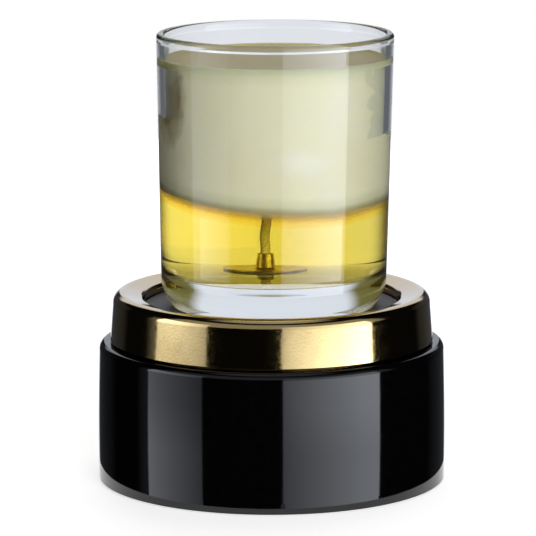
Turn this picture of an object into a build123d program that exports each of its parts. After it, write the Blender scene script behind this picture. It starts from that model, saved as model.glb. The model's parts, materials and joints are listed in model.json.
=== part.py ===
from build123d import *
import os
from math import cos, radians, sin, tan

# Plug-in candle warmer with a candle standing on its hot plate.
# Millimetres, +Z up, front towards -Y. The origin is on the table, on the axis of the housing.

# Black ceramic housing, open below
floor_gap = 0.8                 # under the housing's edge, where the rubber feet stand proud
housing_radius = 65.0
housing_height = 53.7
housing_bulge = 0.8             # the wall swells this much towards its foot
bulge_height = 20.0
bulge_rounding = 600.0
bulge_foot = 0.45               # swell that is left at the foot
shoulder_rounding = 3.9
housing_foot_rounding = 4.0
housing_wall = 6.0
ceiling_thickness = 5.0
ceiling_rounding = 3.0
rebate_depth = 4.2              # step inside the foot that the base plate bears on
rebate_width = 2.0

# Gold collar, set into the top of the housing
gasket_thickness = 0.5
collar_radius = 59.5
collar_height = 16.45           # foot to crest
collar_rim_rounding = 3.8
collar_top_slope = 14.0         # degrees, the top falls towards the well
collar_foot_radius = 61.0
collar_foot_edge = 0.6
foot_cove_rounding = 1.0
collar_foot_rise = 4.0
collar_wall = 4.3
collar_floor = 3.0
spigot_radius = 54.8
spigot_wall = 3.2
spigot_depth = 4.0
spigot_clearance = 0.3
well_radius = 48.1
well_rim_rounding = 2.0
well_cove_rounding = 1.4
well_depth = 4.85               # crest to hot plate
lip_rounding = 0.25
seat_width = 3.8                # ledge under the hot plate's edge
seat_thickness = 3.0

# Hot plate and its seal
plate_radius = 45.7
plate_gap = 0.3                 # around the plate
plate_edge = 1.2
plate_edge_rounding = 0.4
plate_boss_depth = 2.8          # thick middle, below the edge
plate_boss_gap = 0.5
seal_thickness = 0.8
seal_inset = 0.2

# Heater sandwich under the plate
heater_radius = 38.0
mica_thickness = 0.4
foil_thickness = 0.3
foil_track = 3.2
foil_pitch = 5.4
foil_margin = 4.0
foil_post_margin = 2.0          # bare mica between a stud's hole and the track
pad_thickness = 4.0
clamp_radius = 40.0
clamp_thickness = 1.0
clamp_rim = 4.0

# Studs, nuts and tie posts
post_circle = 30.0
post_angles = (30, 150, 270)
stud_diameter = 4.0
stud_clearance = 0.25
thread_clearance = 0.02
stud_grip = 2.0                 # depth in the hot plate
stud_reach = 4.0                # depth in the tie post
nut_flats = 7.0
nut_thickness = 3.2
washer_diameter = 9.0
washer_thickness = 0.6
post_flats = 7.0
nut_to_post = 1.5

# Base plate, feet and screws
base_thickness = 2.6
base_clearance = 0.3
post_boss_radius = 6.5
post_boss_height = 2.4
screw_head_diameter = 7.4
screw_head_height = 2.0
screw_head_room = 0.5           # counterbore wider than the head
screw_head_recess = 0.2
screw_grip = 6.5
screw_slot = 1.0
vent_count = 12
vent_inner = 12.0
vent_outer = 22.0
vent_width = 2.6
foot_circle = 50.0
foot_diameter = 12.0
foot_pocket = 0.8
foot_fit = 0.1
foot_rounding = 0.8
foot_count = 4

# Cord grommet, at the back
grommet_height = 12.7           # above the housing's edge
grommet_flange = 14.0
grommet_flange_thickness = 1.6
grommet_body = 10.6
grommet_bore = 6.4
grommet_tail_flange = 13.0
grommet_tail = 1.5
grommet_clearance = 0.1
grommet_setback = 0.5           # flange face inside the housing's round

# Rocker switch, at the back above the grommet
switch_height = 31.2            # above the housing's edge
bezel_width = 23.0
bezel_height = 16.0
bezel_thickness = 1.8
bezel_setback = 0.9             # bezel face inside the housing's round
bezel_gap = 0.4
switch_panel = 3.0              # ceramic left behind the bezel
switch_body_width = 21.2
switch_body_height = 14.0
switch_body_depth = 12.0
switch_body_gap = 0.3
switch_cavity_width = 19.0
switch_cavity_height = 11.8
switch_floor = 1.7
barb_height = 0.7
barb_length = 2.0
rocker_half_width = 8.6
rocker_face = 3.9               # end of the paddle above the pivot
rocker_dip = 1.0                # hollow in the middle of the paddle
rocker_underside = 0.2          # above the pivot
rocker_taper = 0.4
rocker_nose = 3.0
rocker_nose_depth = 2.0
rocker_gap = 0.4                # to the cavity, each side
rocker_swing = 18.0             # degrees, off to on
pivot_depth = 2.0               # pivot behind the ceramic's front face
pivot_diameter = 2.0
pivot_clearance = 0.05
pivot_side_clearance = 0.02
bridge_start = 3.6
bridge_length = 4.0
bridge_thickness = 0.7
bridge_height = 7.0
contact_gap = 0.3               # left between the closed contacts
blade_start = 3.5
blade_width = 4.5
blade_thickness = 0.8
blade_spacing = 4.8
blade_tail = 7.0
blade_clearance = 0.1

# Terminal block on the base plate
block_width = 22.0
block_length = 14.0
block_height = 11.0
block_rounding = 1.0
block_back = 35.0               # from the axis to the block's middle
block_pad = 1.0
tube_outer = 4.6
tube_bore = 3.4
tube_length = 12.0
tube_clearance = 0.05
way_height = 5.0
grub_diameter = 3.0
grub_spread = 7.0
grub_proud = 0.4
block_screw_diameter = 2.5
block_screw_head = 4.4
block_screw_head_height = 1.6
block_screw_spread = 8.0
block_screw_bite = 2.4

# Leads, thermal fuse and crimps
lead_diameter = 2.4
crimp_outer = 3.8
crimp_length = 8.0
crimp_clearance = 0.05
fuse_diameter = 4.0
fuse_length = 11.5
fuse_lead = 1.0
fuse_lead_length = 7.0
fuse_x = -5.0
fuse_y = 6.0
sleeve_outer = 5.4
sleeve_bore = 4.2
sleeve_length = 12.5
clip_width = 7.0
clip_gauge = 0.6
clip_gap = 0.1
clip_ear = 6.0
rivet_diameter = 2.4
rivet_head = 4.0
rivet_head_height = 0.9
pin_diameter = 2.4
pin_bend = 2.0
pin_run = 7.0                   # from the return pin to the middle of its crimp
pin_hole_clearance = 0.2
live_pin = (-24.0, 6.0)
return_pin = (18.0, -10.0)
bushing_outer = 5.6
bushing_flange = 8.6
bushing_flange_thickness = 0.7
receptacle_width = 6.0
receptacle_length = 7.0
receptacle_thickness = 2.6
barrel_outer = 3.6
barrel_length = 5.5
seat_gap = 0.3                  # between a lead's end and what it butts on

# Candle: glass tumbler, wax, wick and tab
jar_offset = 0.65               # the candle stands this far right of the axis
jar_height = 102.7
jar_mouth_radius = 44.45
jar_foot_radius = 42.3
jar_wall = 2.9
jar_base = 14.0
jar_heel_rounding = 8.0
jar_rim_rounding = 1.3
jar_inner_rounding = 4.0
jar_contact_radius = 30.0
jar_hollow = 1.3                # hollow under the base
wax_below_rim = 8.4
melt_height = 28.0              # melt line above the glass floor, on the axis
melt_fall_right = 2.1           # fall of the melt line over one jar radius
melt_fall_front = 2.4
tab_offset = -2.2               # from the jar's axis
tab_radius = 11.0
tab_thickness = 0.5
tab_neck_radius = 2.1
tab_neck_height = 7.0
tab_neck_rounding = 0.5
wick_diameter = 2.8
wick_clearance = 0.05
wick_below_top = 1.0
wick_lean = 1.2                 # how far its top stands to the right of its foot
wick_bend_height = 12.0

# Heights worked out from those sizes
housing_foot_z = floor_gap
shoulder_z = housing_foot_z + housing_height
rebate_z = housing_foot_z + rebate_depth
base_bottom_z = rebate_z - base_thickness
collar_foot_z = shoulder_z + gasket_thickness
crest_z = collar_foot_z + collar_height
plate_z = crest_z - well_depth
seal_top_z = plate_z - plate_edge
seat_z = seal_top_z - seal_thickness
plate_under_z = seal_top_z - plate_boss_depth
mica_upper_z = plate_under_z - mica_thickness
foil_z = mica_upper_z - foil_thickness
mica_lower_z = foil_z - mica_thickness
pad_z = mica_lower_z - pad_thickness
clamp_z = pad_z - clamp_thickness
washer_z = clamp_z - washer_thickness
nut_z = washer_z - nut_thickness
post_top_z = nut_z - nut_to_post
post_foot_z = rebate_z + post_boss_height
grommet_z = housing_foot_z + grommet_height
switch_z = housing_foot_z + switch_height
fuse_z = clamp_z - clip_gap - sleeve_outer / 2
jar_floor_z = plate_z + jar_base
jar_top_z = plate_z + jar_height
wax_top_z = jar_top_z - wax_below_rim
melt_z = jar_floor_z + melt_height

# Radii and depths worked out from those sizes
cavity_radius = housing_radius - housing_wall
rebate_radius = cavity_radius + rebate_width
opening_radius = spigot_radius + spigot_clearance
collar_bore = collar_radius - collar_wall
lip_radius = plate_radius + plate_gap
seat_radius = lip_radius - seat_width
boss_radius = seat_radius - plate_boss_gap
stud_hole = stud_diameter + 2 * stud_clearance
pin_hole = pin_diameter + 2 * pin_hole_clearance
bushing_hole = bushing_outer + 2 * pin_hole_clearance
post_points = [(post_circle * cos(radians(a)), post_circle * sin(radians(a))) for a in post_angles]
pin_points = [live_pin, return_pin]
panel_y = housing_radius - bezel_setback - bezel_thickness
panel_back_y = panel_y - switch_panel
bezel_y = panel_y + bezel_thickness
pivot_y = panel_y - pivot_depth
switch_back_y = panel_y - switch_body_depth
blade_x = blade_start + blade_width / 2
way_x = blade_x
way_z = rebate_z + block_pad + way_height
grommet_y = housing_radius - grommet_setback


def turned(points):
    """Solid of revolution from its half section, a list of (radius, height[, rounding])."""
    corners = [(p[0], 0, p[1]) for p in points]
    roundings = [p[2] if len(p) > 2 else 0 for p in points]
    section = make_face(FilletPolyline(*corners, radius=roundings, close=True))
    return revolve(section, Axis.Z)


def rod(x, y, z, diameter, length):
    """Upright cylinder that starts at height z."""
    return Pos(x, y, z) * Cylinder(diameter / 2, length, align=(Align.CENTER, Align.CENTER, Align.MIN))


def disc(radius, z, thickness):
    return rod(0, 0, z, 2 * radius, thickness)


def block(x, y, z, width, depth, height):
    """Box centred on x and y that starts at height z."""
    return Pos(x, y, z) * Box(width, depth, height, align=(Align.CENTER, Align.CENTER, Align.MIN))


def across(x, y, z, diameter, length):
    """Cylinder along X, centred on its point."""
    return Pos(x, y, z) * Rot(0, 90, 0) * Cylinder(diameter / 2, length)


def endwise(x, y, z, diameter, length):
    """Cylinder along Y that starts at y and runs back towards the axis."""
    return Pos(x, y, z) * Rot(90, 0, 0) * Cylinder(
        diameter / 2, length, align=(Align.CENTER, Align.CENTER, Align.MIN))


def hexagon(x, y, z, flats, height):
    corner_radius = flats / 2 / cos(radians(30))
    return Pos(x, y, z) * extrude(RegularPolygon(corner_radius, 6), height)


def tube_along(points, diameter):
    """Round lead through the points, each bend as wide as its two runs allow."""
    corners = [Vector(*p) for p in points]
    runs = [b - a for a, b in zip(corners, corners[1:])]
    radii = []
    for before, after in zip(runs, runs[1:]):
        half_turn = radians(before.get_angle(after)) / 2
        radii.append(0.45 * min(before.length, after.length) / tan(half_turn))
    path = FilletPolyline(*corners, radius=radii)
    section = Plane(origin=path @ 0, z_dir=path % 0) * Circle(diameter / 2)
    return sweep(section, path=path), radii


def group(solids):
    return Compound(children=[part.solid() for part in solids])


def ceramic_housing():
    body = turned([
        (opening_radius, shoulder_z),
        (housing_radius, shoulder_z, shoulder_rounding),
        (housing_radius + housing_bulge, bulge_height, bulge_rounding),
        (housing_radius + bulge_foot, housing_foot_z, housing_foot_rounding),
        (rebate_radius, housing_foot_z),
        (rebate_radius, rebate_z),
        (cavity_radius, rebate_z),
        (cavity_radius, shoulder_z - ceiling_thickness, ceiling_rounding),
        (opening_radius, shoulder_z - ceiling_thickness),
    ])
    deep = housing_wall + bulge_height
    pocket_width = bezel_width + 2 * bezel_gap
    pocket_height = bezel_height + 2 * bezel_gap
    body -= Pos(0, panel_y + deep / 2, switch_z) * Box(pocket_width, deep, pocket_height)
    hole_width = switch_body_width + 2 * switch_body_gap
    hole_height = switch_body_height + 2 * switch_body_gap
    body -= Pos(0, panel_y, switch_z) * Box(hole_width, 2 * housing_wall, hole_height)
    relief_height = pocket_height + 2 * barb_height
    body -= Pos(0, panel_back_y - deep / 2, switch_z) * Box(pocket_width, deep, relief_height)
    flange_hole = grommet_flange + 2 * grommet_clearance
    flange_seat_y = grommet_y - grommet_flange_thickness
    tail_seat_y = cavity_radius - grommet_clearance
    body -= endwise(0, flange_seat_y + deep, grommet_z, flange_hole, deep)
    body -= endwise(0, grommet_y, grommet_z, grommet_body + 2 * grommet_clearance, deep)
    body -= endwise(0, tail_seat_y, grommet_z, grommet_tail_flange + 2 * grommet_clearance, deep / 2)
    return body


def gold_collar():
    slope = radians(collar_top_slope)
    rim_z = crest_z - collar_rim_rounding + collar_rim_rounding * (1 + sin(slope)) / cos(slope)
    inner_rim_z = rim_z - (collar_radius - well_radius) * tan(slope)
    return turned([
        (spigot_radius - spigot_wall, collar_foot_z - spigot_depth),
        (spigot_radius, collar_foot_z - spigot_depth),
        (spigot_radius, collar_foot_z),
        (collar_foot_radius, collar_foot_z),
        (collar_foot_radius, collar_foot_z + collar_foot_edge, collar_foot_edge / 3),
        (collar_radius + collar_foot_edge / 2, collar_foot_z + collar_foot_edge, foot_cove_rounding),
        (collar_radius, collar_foot_z + collar_foot_rise, collar_foot_rise),
        (collar_radius, rim_z, collar_rim_rounding),
        (well_radius, inner_rim_z, well_rim_rounding),
        (well_radius, plate_z, well_cove_rounding),
        (lip_radius, plate_z, lip_rounding),
        (lip_radius, seat_z),
        (seat_radius, seat_z),
        (seat_radius, seat_z - seat_thickness),
        (collar_bore, seat_z - seat_thickness),
        (collar_bore, collar_foot_z + collar_floor),
        (spigot_radius - spigot_wall, collar_foot_z + collar_floor),
    ])


def collar_gasket():
    return disc(collar_foot_radius - gasket_thickness, shoulder_z, gasket_thickness) - disc(
        opening_radius, shoulder_z, gasket_thickness)


def hot_plate():
    plate = turned([
        (0, plate_z),
        (plate_radius, plate_z, plate_edge_rounding),
        (plate_radius, seal_top_z),
        (boss_radius, seal_top_z),
        (boss_radius, plate_under_z),
        (0, plate_under_z),
    ])
    for x, y in post_points:
        plate -= rod(x, y, plate_under_z, stud_diameter + 2 * thread_clearance, stud_grip)
    return plate


def plate_seal():
    return disc(lip_radius - seal_inset, seat_z, seal_thickness) - disc(
        seat_radius + seal_inset, seat_z, seal_thickness)


def plate_studs():
    foot_z = post_top_z - stud_reach
    length = plate_under_z + stud_grip - foot_z
    return group(rod(x, y, foot_z, stud_diameter, length) for x, y in post_points)


def drilled(sheet, z, thickness, pin_bore):
    """Cuts the holes for the studs and the heater's pins."""
    for x, y in post_points:
        sheet -= rod(x, y, z, stud_hole, thickness)
    for x, y in pin_points:
        sheet -= rod(x, y, z, pin_bore, thickness)
    return sheet


def mica_upper():
    sheet = disc(heater_radius, mica_upper_z, mica_thickness)
    for x, y in post_points:
        sheet -= rod(x, y, mica_upper_z, stud_hole, mica_thickness)
    return sheet


def mica_lower():
    sheet = disc(heater_radius, mica_lower_z, mica_thickness)
    return drilled(sheet, mica_lower_z, mica_thickness, pin_hole)


def heater_foil():
    """One flat track that zigzags over the disc, cut back around the studs."""
    reach = heater_radius - foil_margin
    rows = int(2 * reach / foil_pitch)
    clear_radius = stud_hole / 2 + foil_post_margin
    foil = None
    ends = []
    for row in range(rows):
        y = (row - (rows - 1) / 2) * foil_pitch
        half = (reach ** 2 - (abs(y) + foil_track / 2) ** 2) ** 0.5
        left, right = -half, half
        for px, py in post_points:
            near = abs(y - py) < clear_radius + foil_track / 2
            if near and px > 1:
                right = min(right, px - clear_radius)
            elif near and px < -1:
                left = max(left, px + clear_radius)
            elif near:
                left = max(left, px + clear_radius)
        ends.append((y, left, right))
        strip = block((left + right) / 2, y, foil_z, right - left, foil_track, foil_thickness)
        foil = strip if foil is None else foil + strip
    for row in range(rows - 1):
        (y, left, right), (y_next, left_next, right_next) = ends[row], ends[row + 1]
        if row % 2:
            x = min(right, right_next) - foil_track / 2
        else:
            x = max(left, left_next) + foil_track / 2
        foil += block(x, (y + y_next) / 2, foil_z, foil_track, foil_pitch, foil_thickness)
    for x, y in pin_points:
        foil += rod(x, y, foil_z, pin_diameter + foil_track, foil_thickness)
    return foil


def insulation_pad():
    return drilled(disc(heater_radius, pad_z, pad_thickness), pad_z, pad_thickness, bushing_hole)


def clamp_plate():
    dish = turned([
        (0, pad_z),
        (clamp_radius, pad_z, clamp_thickness * 1.5),
        (clamp_radius, clamp_z - clamp_rim),
        (clamp_radius - clamp_thickness, clamp_z - clamp_rim),
        (clamp_radius - clamp_thickness, clamp_z, clamp_thickness / 2),
        (0, clamp_z),
    ])
    dish = drilled(dish, clamp_z, clamp_thickness, bushing_hole)
    for x, y in rivet_points():
        dish -= rod(x, y, clamp_z, rivet_diameter, clamp_thickness)
    return dish


def clamp_washers():
    return group(
        rod(x, y, washer_z, washer_diameter, washer_thickness)
        - rod(x, y, washer_z, stud_hole, washer_thickness) for x, y in post_points)


def clamp_nuts():
    bore = stud_diameter + 2 * thread_clearance
    return group(
        hexagon(x, y, nut_z, nut_flats, nut_thickness) - rod(x, y, nut_z, bore, nut_thickness)
        for x, y in post_points)


def tie_posts():
    bore = stud_diameter + 2 * thread_clearance
    posts = []
    for x, y in post_points:
        post = hexagon(x, y, post_foot_z, post_flats, post_top_z - post_foot_z)
        post -= rod(x, y, post_top_z - stud_reach - nut_to_post, bore, stud_reach + nut_to_post)
        post -= rod(x, y, post_foot_z, bore, screw_grip + nut_to_post)
        posts.append(post)
    return group(posts)


def heater_terminals():
    """Bent pins; the live one points right, the return one points left."""
    pins = []
    for (x, y), towards in zip(pin_points, (1, -1)):
        tip = (crimp_end(x, towards), y, fuse_z)
        path = FilletPolyline((x, y, foil_z), (x, y, fuse_z), tip, radius=pin_bend)
        section = Plane(origin=path @ 0, z_dir=path % 0) * Circle(pin_diameter / 2)
        pins.append(sweep(section, path=path))
    return group(pins)


def terminal_bushings():
    bushes = []
    for x, y in pin_points:
        bush = rod(x, y, clamp_z, bushing_outer, clamp_thickness + pad_thickness / 2)
        bush += rod(x, y, clamp_z - bushing_flange_thickness, bushing_flange, bushing_flange_thickness)
        low_z = clamp_z - bushing_flange_thickness
        bush -= rod(x, y, low_z, pin_hole, bushing_flange_thickness + clamp_thickness + pad_thickness)
        bushes.append(bush)
    return group(bushes)


def crimp_points():
    """Middle of each crimp: live pin to fuse, fuse to switched lead, return pin to neutral lead."""
    reach = fuse_length / 2 + fuse_lead_length + seat_gap / 2
    return [fuse_x - reach, fuse_x + reach, return_pin[0] - pin_run]


def crimp_end(x, towards):
    """Where a pin's tip stops inside its crimp."""
    live, _, back = crimp_points()
    return (live if towards > 0 else back) - towards * seat_gap / 2


def crimp_sleeves():
    """Tubes with a wide bore for a pin or lead and, beside the fuse, a narrow one for its wire."""
    live, switched, back = crimp_points()
    wide = pin_diameter + 2 * crimp_clearance
    narrow = fuse_lead + 2 * crimp_clearance
    half = crimp_length / 2
    first = across(live, fuse_y, fuse_z, crimp_outer, crimp_length)
    first -= across(live - half / 2, fuse_y, fuse_z, wide, half)
    first -= across(live + half / 2, fuse_y, fuse_z, narrow, half)
    second = across(switched, fuse_y, fuse_z, crimp_outer, crimp_length)
    second -= across(switched - half / 2, fuse_y, fuse_z, narrow, half)
    second -= across(switched + half / 2, fuse_y, fuse_z, lead_diameter + 2 * crimp_clearance, half)
    third = across(back, return_pin[1], fuse_z, crimp_outer, crimp_length)
    third -= across(back, return_pin[1], fuse_z, wide, crimp_length)
    return group([first, second, third])


def thermal_fuse():
    body = across(fuse_x, fuse_y, fuse_z, fuse_diameter, fuse_length)
    return body + across(fuse_x, fuse_y, fuse_z, fuse_lead, fuse_length + 2 * fuse_lead_length)


def fuse_sleeve():
    return across(fuse_x, fuse_y, fuse_z, sleeve_outer, sleeve_length) - across(
        fuse_x, fuse_y, fuse_z, sleeve_bore, sleeve_length)


def rivet_points():
    offset = sleeve_outer / 2 + clip_gap + clip_gauge + clip_ear / 2
    return [(fuse_x, fuse_y - offset), (fuse_x, fuse_y + offset)]


def fuse_clip():
    """Strap under the fuse's sleeve with an ear on each side, flat against the clamp plate."""
    inner = sleeve_outer / 2 + clip_gap
    outer = inner + clip_gauge
    rise = clamp_z - fuse_z
    ears = block(fuse_x, fuse_y, clamp_z - clip_gauge, clip_width, 2 * (outer + clip_ear), clip_gauge)
    strap = block(fuse_x, fuse_y, fuse_z, clip_width, 2 * outer, rise)
    strap += across(fuse_x, fuse_y, fuse_z, 2 * outer, clip_width)
    clip = ears + strap
    clip -= block(fuse_x, fuse_y, clamp_z, clip_width, 2 * outer, outer)
    clip -= block(fuse_x, fuse_y, fuse_z, clip_width, 2 * inner, rise)
    clip -= across(fuse_x, fuse_y, fuse_z, 2 * inner, clip_width)
    for x, y in rivet_points():
        clip -= rod(x, y, clamp_z - clip_gauge, rivet_diameter, clip_gauge)
    return clip


def clip_rivets():
    low_z = clamp_z - clip_gauge
    return group(
        rod(x, y, low_z, rivet_diameter, clip_gauge + clamp_thickness)
        + rod(x, y, low_z - rivet_head_height, rivet_head, rivet_head_height) for x, y in rivet_points())


def foot_points():
    angles = [45 + 360 / foot_count * i for i in range(foot_count)]
    return [(foot_circle * cos(radians(a)), foot_circle * sin(radians(a))) for a in angles]


def base_plate():
    plate = disc(rebate_radius - base_clearance, base_bottom_z, base_thickness)
    plate = fillet(plate.edges().group_by(Axis.Z)[0], base_thickness / 4)
    for x, y in post_points:
        plate += rod(x, y, rebate_z, 2 * post_boss_radius, post_boss_height)
    plate += block(0, block_back, rebate_z, block_width, block_length, block_pad)
    head_room = screw_head_recess + screw_head_height
    for x, y in post_points:
        plate -= rod(x, y, base_bottom_z, screw_head_diameter + screw_head_room, head_room)
        plate -= rod(x, y, base_bottom_z, stud_hole, base_thickness + post_boss_height)
    for x, y in foot_points():
        plate -= rod(x, y, base_bottom_z, foot_diameter + 2 * foot_fit, foot_pocket)
    slot_middle = (vent_inner + vent_outer) / 2
    slot = SlotOverall(vent_outer - vent_inner, vent_width)
    for i in range(vent_count):
        place = Rot(0, 0, 360 / vent_count * (i + 0.5)) * Pos(slot_middle, 0, base_bottom_z)
        plate -= place * extrude(slot, base_thickness)
    for x, y in block_screw_points():
        low_z = rebate_z + block_pad - block_screw_bite
        plate -= rod(x, y, low_z, block_screw_diameter + 2 * thread_clearance, block_screw_bite)
    return plate


def base_screws():
    screws = []
    for x, y in post_points:
        head_z = base_bottom_z + screw_head_recess
        screw = rod(x, y, head_z, screw_head_diameter, screw_head_height)
        screw += rod(x, y, head_z, stud_diameter, post_foot_z + screw_grip - head_z)
        screw -= block(x, y, head_z, screw_head_diameter, screw_slot, screw_head_height / 2)
        screw -= block(x, y, head_z, screw_slot, screw_head_diameter * 0.6, screw_head_height / 2)
        screws.append(screw)
    return group(screws)


def rubber_feet():
    feet = []
    for x, y in foot_points():
        foot = rod(x, y, 0, foot_diameter, base_bottom_z + foot_pocket)
        feet.append(fillet(foot.edges().group_by(Axis.Z)[0], foot_rounding))
    return group(feet)


def cord_grommet():
    flange_seat_y = grommet_y - grommet_flange_thickness
    tail_seat_y = cavity_radius - grommet_clearance
    outer = endwise(0, grommet_y, grommet_z, grommet_flange, grommet_flange_thickness)
    mouth = outer.edges().filter_by(GeomType.CIRCLE).group_by(Axis.Y)[-1]
    outer = fillet(mouth, grommet_flange_thickness / 2)
    body = endwise(0, flange_seat_y, grommet_z, grommet_body, flange_seat_y - tail_seat_y + grommet_tail)
    tail = endwise(0, tail_seat_y, grommet_z, grommet_tail_flange, grommet_tail)
    bore = endwise(0, grommet_y, grommet_z, grommet_bore, grommet_y - tail_seat_y + grommet_tail)
    return outer + body + tail - bore


def block_screw_points():
    return [(0, block_back - block_screw_spread / 2), (0, block_back + block_screw_spread / 2)]


def grub_points():
    ys = (block_back - grub_spread / 2, block_back + grub_spread / 2)
    return [(x, y) for x in (-way_x, way_x) for y in ys]


def terminal_block():
    low_z = rebate_z + block_pad
    body = block(0, block_back, low_z, block_width, block_length, block_height)
    body = fillet(body.edges().filter_by(Axis.Z), block_rounding)
    front_y = block_back + block_length / 2
    top_z = low_z + block_height
    for x in (-way_x, way_x):
        body -= endwise(x, front_y, way_z, tube_outer + 2 * tube_clearance, block_length)
    for x, y in grub_points():
        body -= rod(x, y, way_z, grub_diameter + 2 * stud_clearance, block_height)
    head_bore = block_screw_head + 2 * tube_clearance
    for x, y in block_screw_points():
        body -= rod(x, y, low_z, block_screw_diameter + 2 * thread_clearance, block_height)
        body -= rod(x, y, top_z - block_screw_head_height, head_bore, block_screw_head_height)
    return body


def terminal_tubes():
    tubes = []
    front_y = block_back + tube_length / 2
    for way in (-way_x, way_x):
        tube = endwise(way, front_y, way_z, tube_outer, tube_length)
        tube -= endwise(way, front_y, way_z, tube_bore, tube_length)
        for x, y in grub_points():
            tube -= rod(x, y, way_z, grub_diameter + 2 * thread_clearance, tube_outer)
        tubes.append(tube)
    return group(tubes)


def terminal_screws():
    tip_z = way_z + lead_diameter / 2
    length = rebate_z + block_pad + block_height + grub_proud - tip_z
    screws = []
    for x, y in grub_points():
        screw = rod(x, y, tip_z, grub_diameter, length)
        screw -= block(x, y, tip_z + length - grub_proud, grub_diameter, screw_slot / 2, grub_proud)
        screws.append(screw)
    return group(screws)


def block_screws():
    top_z = rebate_z + block_pad + block_height
    low_z = rebate_z + block_pad - block_screw_bite
    screws = []
    for x, y in block_screw_points():
        screw = rod(x, y, low_z, block_screw_diameter, top_z - low_z)
        screw += rod(x, y, top_z - block_screw_head_height, block_screw_head, block_screw_head_height)
        screw -= block(x, y, top_z - block_screw_head_height / 2, block_screw_head, screw_slot / 2,
                       block_screw_head_height / 2)
        screws.append(screw)
    return group(screws)


def switch_housing():
    bezel = Box(bezel_width, bezel_thickness, bezel_height)
    bezel = Pos(0, panel_y + bezel_thickness / 2, switch_z) * bezel
    bezel = fillet(bezel.edges().filter_by(Axis.Y), bezel_thickness / 2)
    bezel = fillet(bezel.faces().sort_by(Axis.Y)[-1].edges(), bezel_thickness / 3)
    box_y = panel_y - switch_body_depth / 2
    body = Pos(0, box_y, switch_z) * Box(switch_body_width, switch_body_depth, switch_body_height)
    shell = bezel + body
    for side in (-1, 1):
        barb = Polyline(
            (panel_back_y - switch_body_gap, side * switch_body_height / 2),
            (panel_back_y - switch_body_gap, side * (switch_body_height / 2 + barb_height)),
            (panel_back_y - switch_body_gap - barb_length, side * switch_body_height / 2),
            close=True)
        wedge = extrude(Plane.YZ * make_face(barb), bezel_height / 4, both=True)
        shell += Pos(0, 0, switch_z) * wedge
    cavity_depth = switch_body_depth + bezel_thickness - switch_floor
    cavity_y = bezel_y - cavity_depth / 2
    shell -= Pos(0, cavity_y, switch_z) * Box(switch_cavity_width, cavity_depth, switch_cavity_height)
    shell -= rod(0, pivot_y, switch_z - switch_body_height / 2, pivot_diameter + 2 * pivot_side_clearance,
                 switch_body_height)
    for z in blade_heights():
        slot_width = blade_width + 2 * blade_clearance
        slot_height = blade_thickness + 2 * blade_clearance
        shell -= Pos(blade_x, switch_back_y, z) * Box(slot_width, 2 * switch_floor + 1, slot_height)
    return shell


def blade_heights():
    return [switch_z - blade_spacing / 2, switch_z + blade_spacing / 2]


def switch_pivot():
    return rod(0, pivot_y, switch_z - switch_body_height / 2, pivot_diameter, switch_body_height)


def tipped(part):
    """Turns a piece of the rocker about its pivot, from level to off."""
    return Pos(0, pivot_y, 0) * Rot(0, 0, rocker_swing / 2) * part


def rocker():
    end = rocker_half_width
    side = end - rocker_taper
    section = make_face(Polyline(
        (-end, rocker_face),
        (0, rocker_face - rocker_dip),
        (end, rocker_face),
        (side, rocker_underside),
        (rocker_nose, rocker_underside),
        (rocker_nose, -rocker_nose_depth),
        (-rocker_nose, -rocker_nose_depth),
        (-rocker_nose, rocker_underside),
        (-side, rocker_underside),
        close=True))
    height = switch_cavity_height - 2 * rocker_gap
    paddle = Pos(0, 0, switch_z - height / 2) * extrude(section, height)
    ends = paddle.edges().filter_by(Axis.Z).sort_by(Axis.Y)[-2:]
    paddle = fillet(ends, rocker_taper)
    paddle -= rod(0, 0, switch_z - height, pivot_diameter + 2 * pivot_clearance, 2 * height)
    return tipped(paddle)


def contact_bridge():
    middle_x = bridge_start + bridge_length / 2
    middle_y = rocker_underside - bridge_thickness / 2
    return tipped(Pos(middle_x, middle_y, switch_z) * Box(bridge_length, bridge_thickness, bridge_height))


def switch_terminals():
    """Two blades side by side; the bridge stops just short of their tips when the rocker is on."""
    on = radians(rocker_swing / 2)
    bridge_tip = (bridge_start + bridge_length) * sin(on) - (rocker_underside - bridge_thickness) * cos(on)
    tip_y = pivot_y - bridge_tip - contact_gap
    tail_y = switch_back_y - blade_tail
    return group(
        Pos(blade_x, (tip_y + tail_y) / 2, z) * Box(blade_width, tip_y - tail_y, blade_thickness)
        for z in blade_heights())


def receptacle_back_y():
    return switch_back_y - seat_gap - receptacle_length


def spade_receptacles():
    pieces = []
    for z in blade_heights():
        body_y = switch_back_y - seat_gap - receptacle_length / 2
        piece = Pos(blade_x, body_y, z) * Box(receptacle_width, receptacle_length, receptacle_thickness)
        piece = fillet(piece.edges().filter_by(Axis.Y), receptacle_thickness / 4)
        piece += endwise(blade_x, receptacle_back_y(), z, barrel_outer, barrel_length)
        slot_width = blade_width + 2 * blade_clearance
        slot_height = blade_thickness + 2 * blade_clearance
        piece -= Pos(blade_x, switch_back_y - receptacle_length / 2, z) * Box(
            slot_width, receptacle_length, slot_height)
        bore = lead_diameter + 2 * crimp_clearance
        piece -= endwise(blade_x, receptacle_back_y(), z, bore, barrel_length)
        pieces.append(piece)
    return group(pieces)


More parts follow.
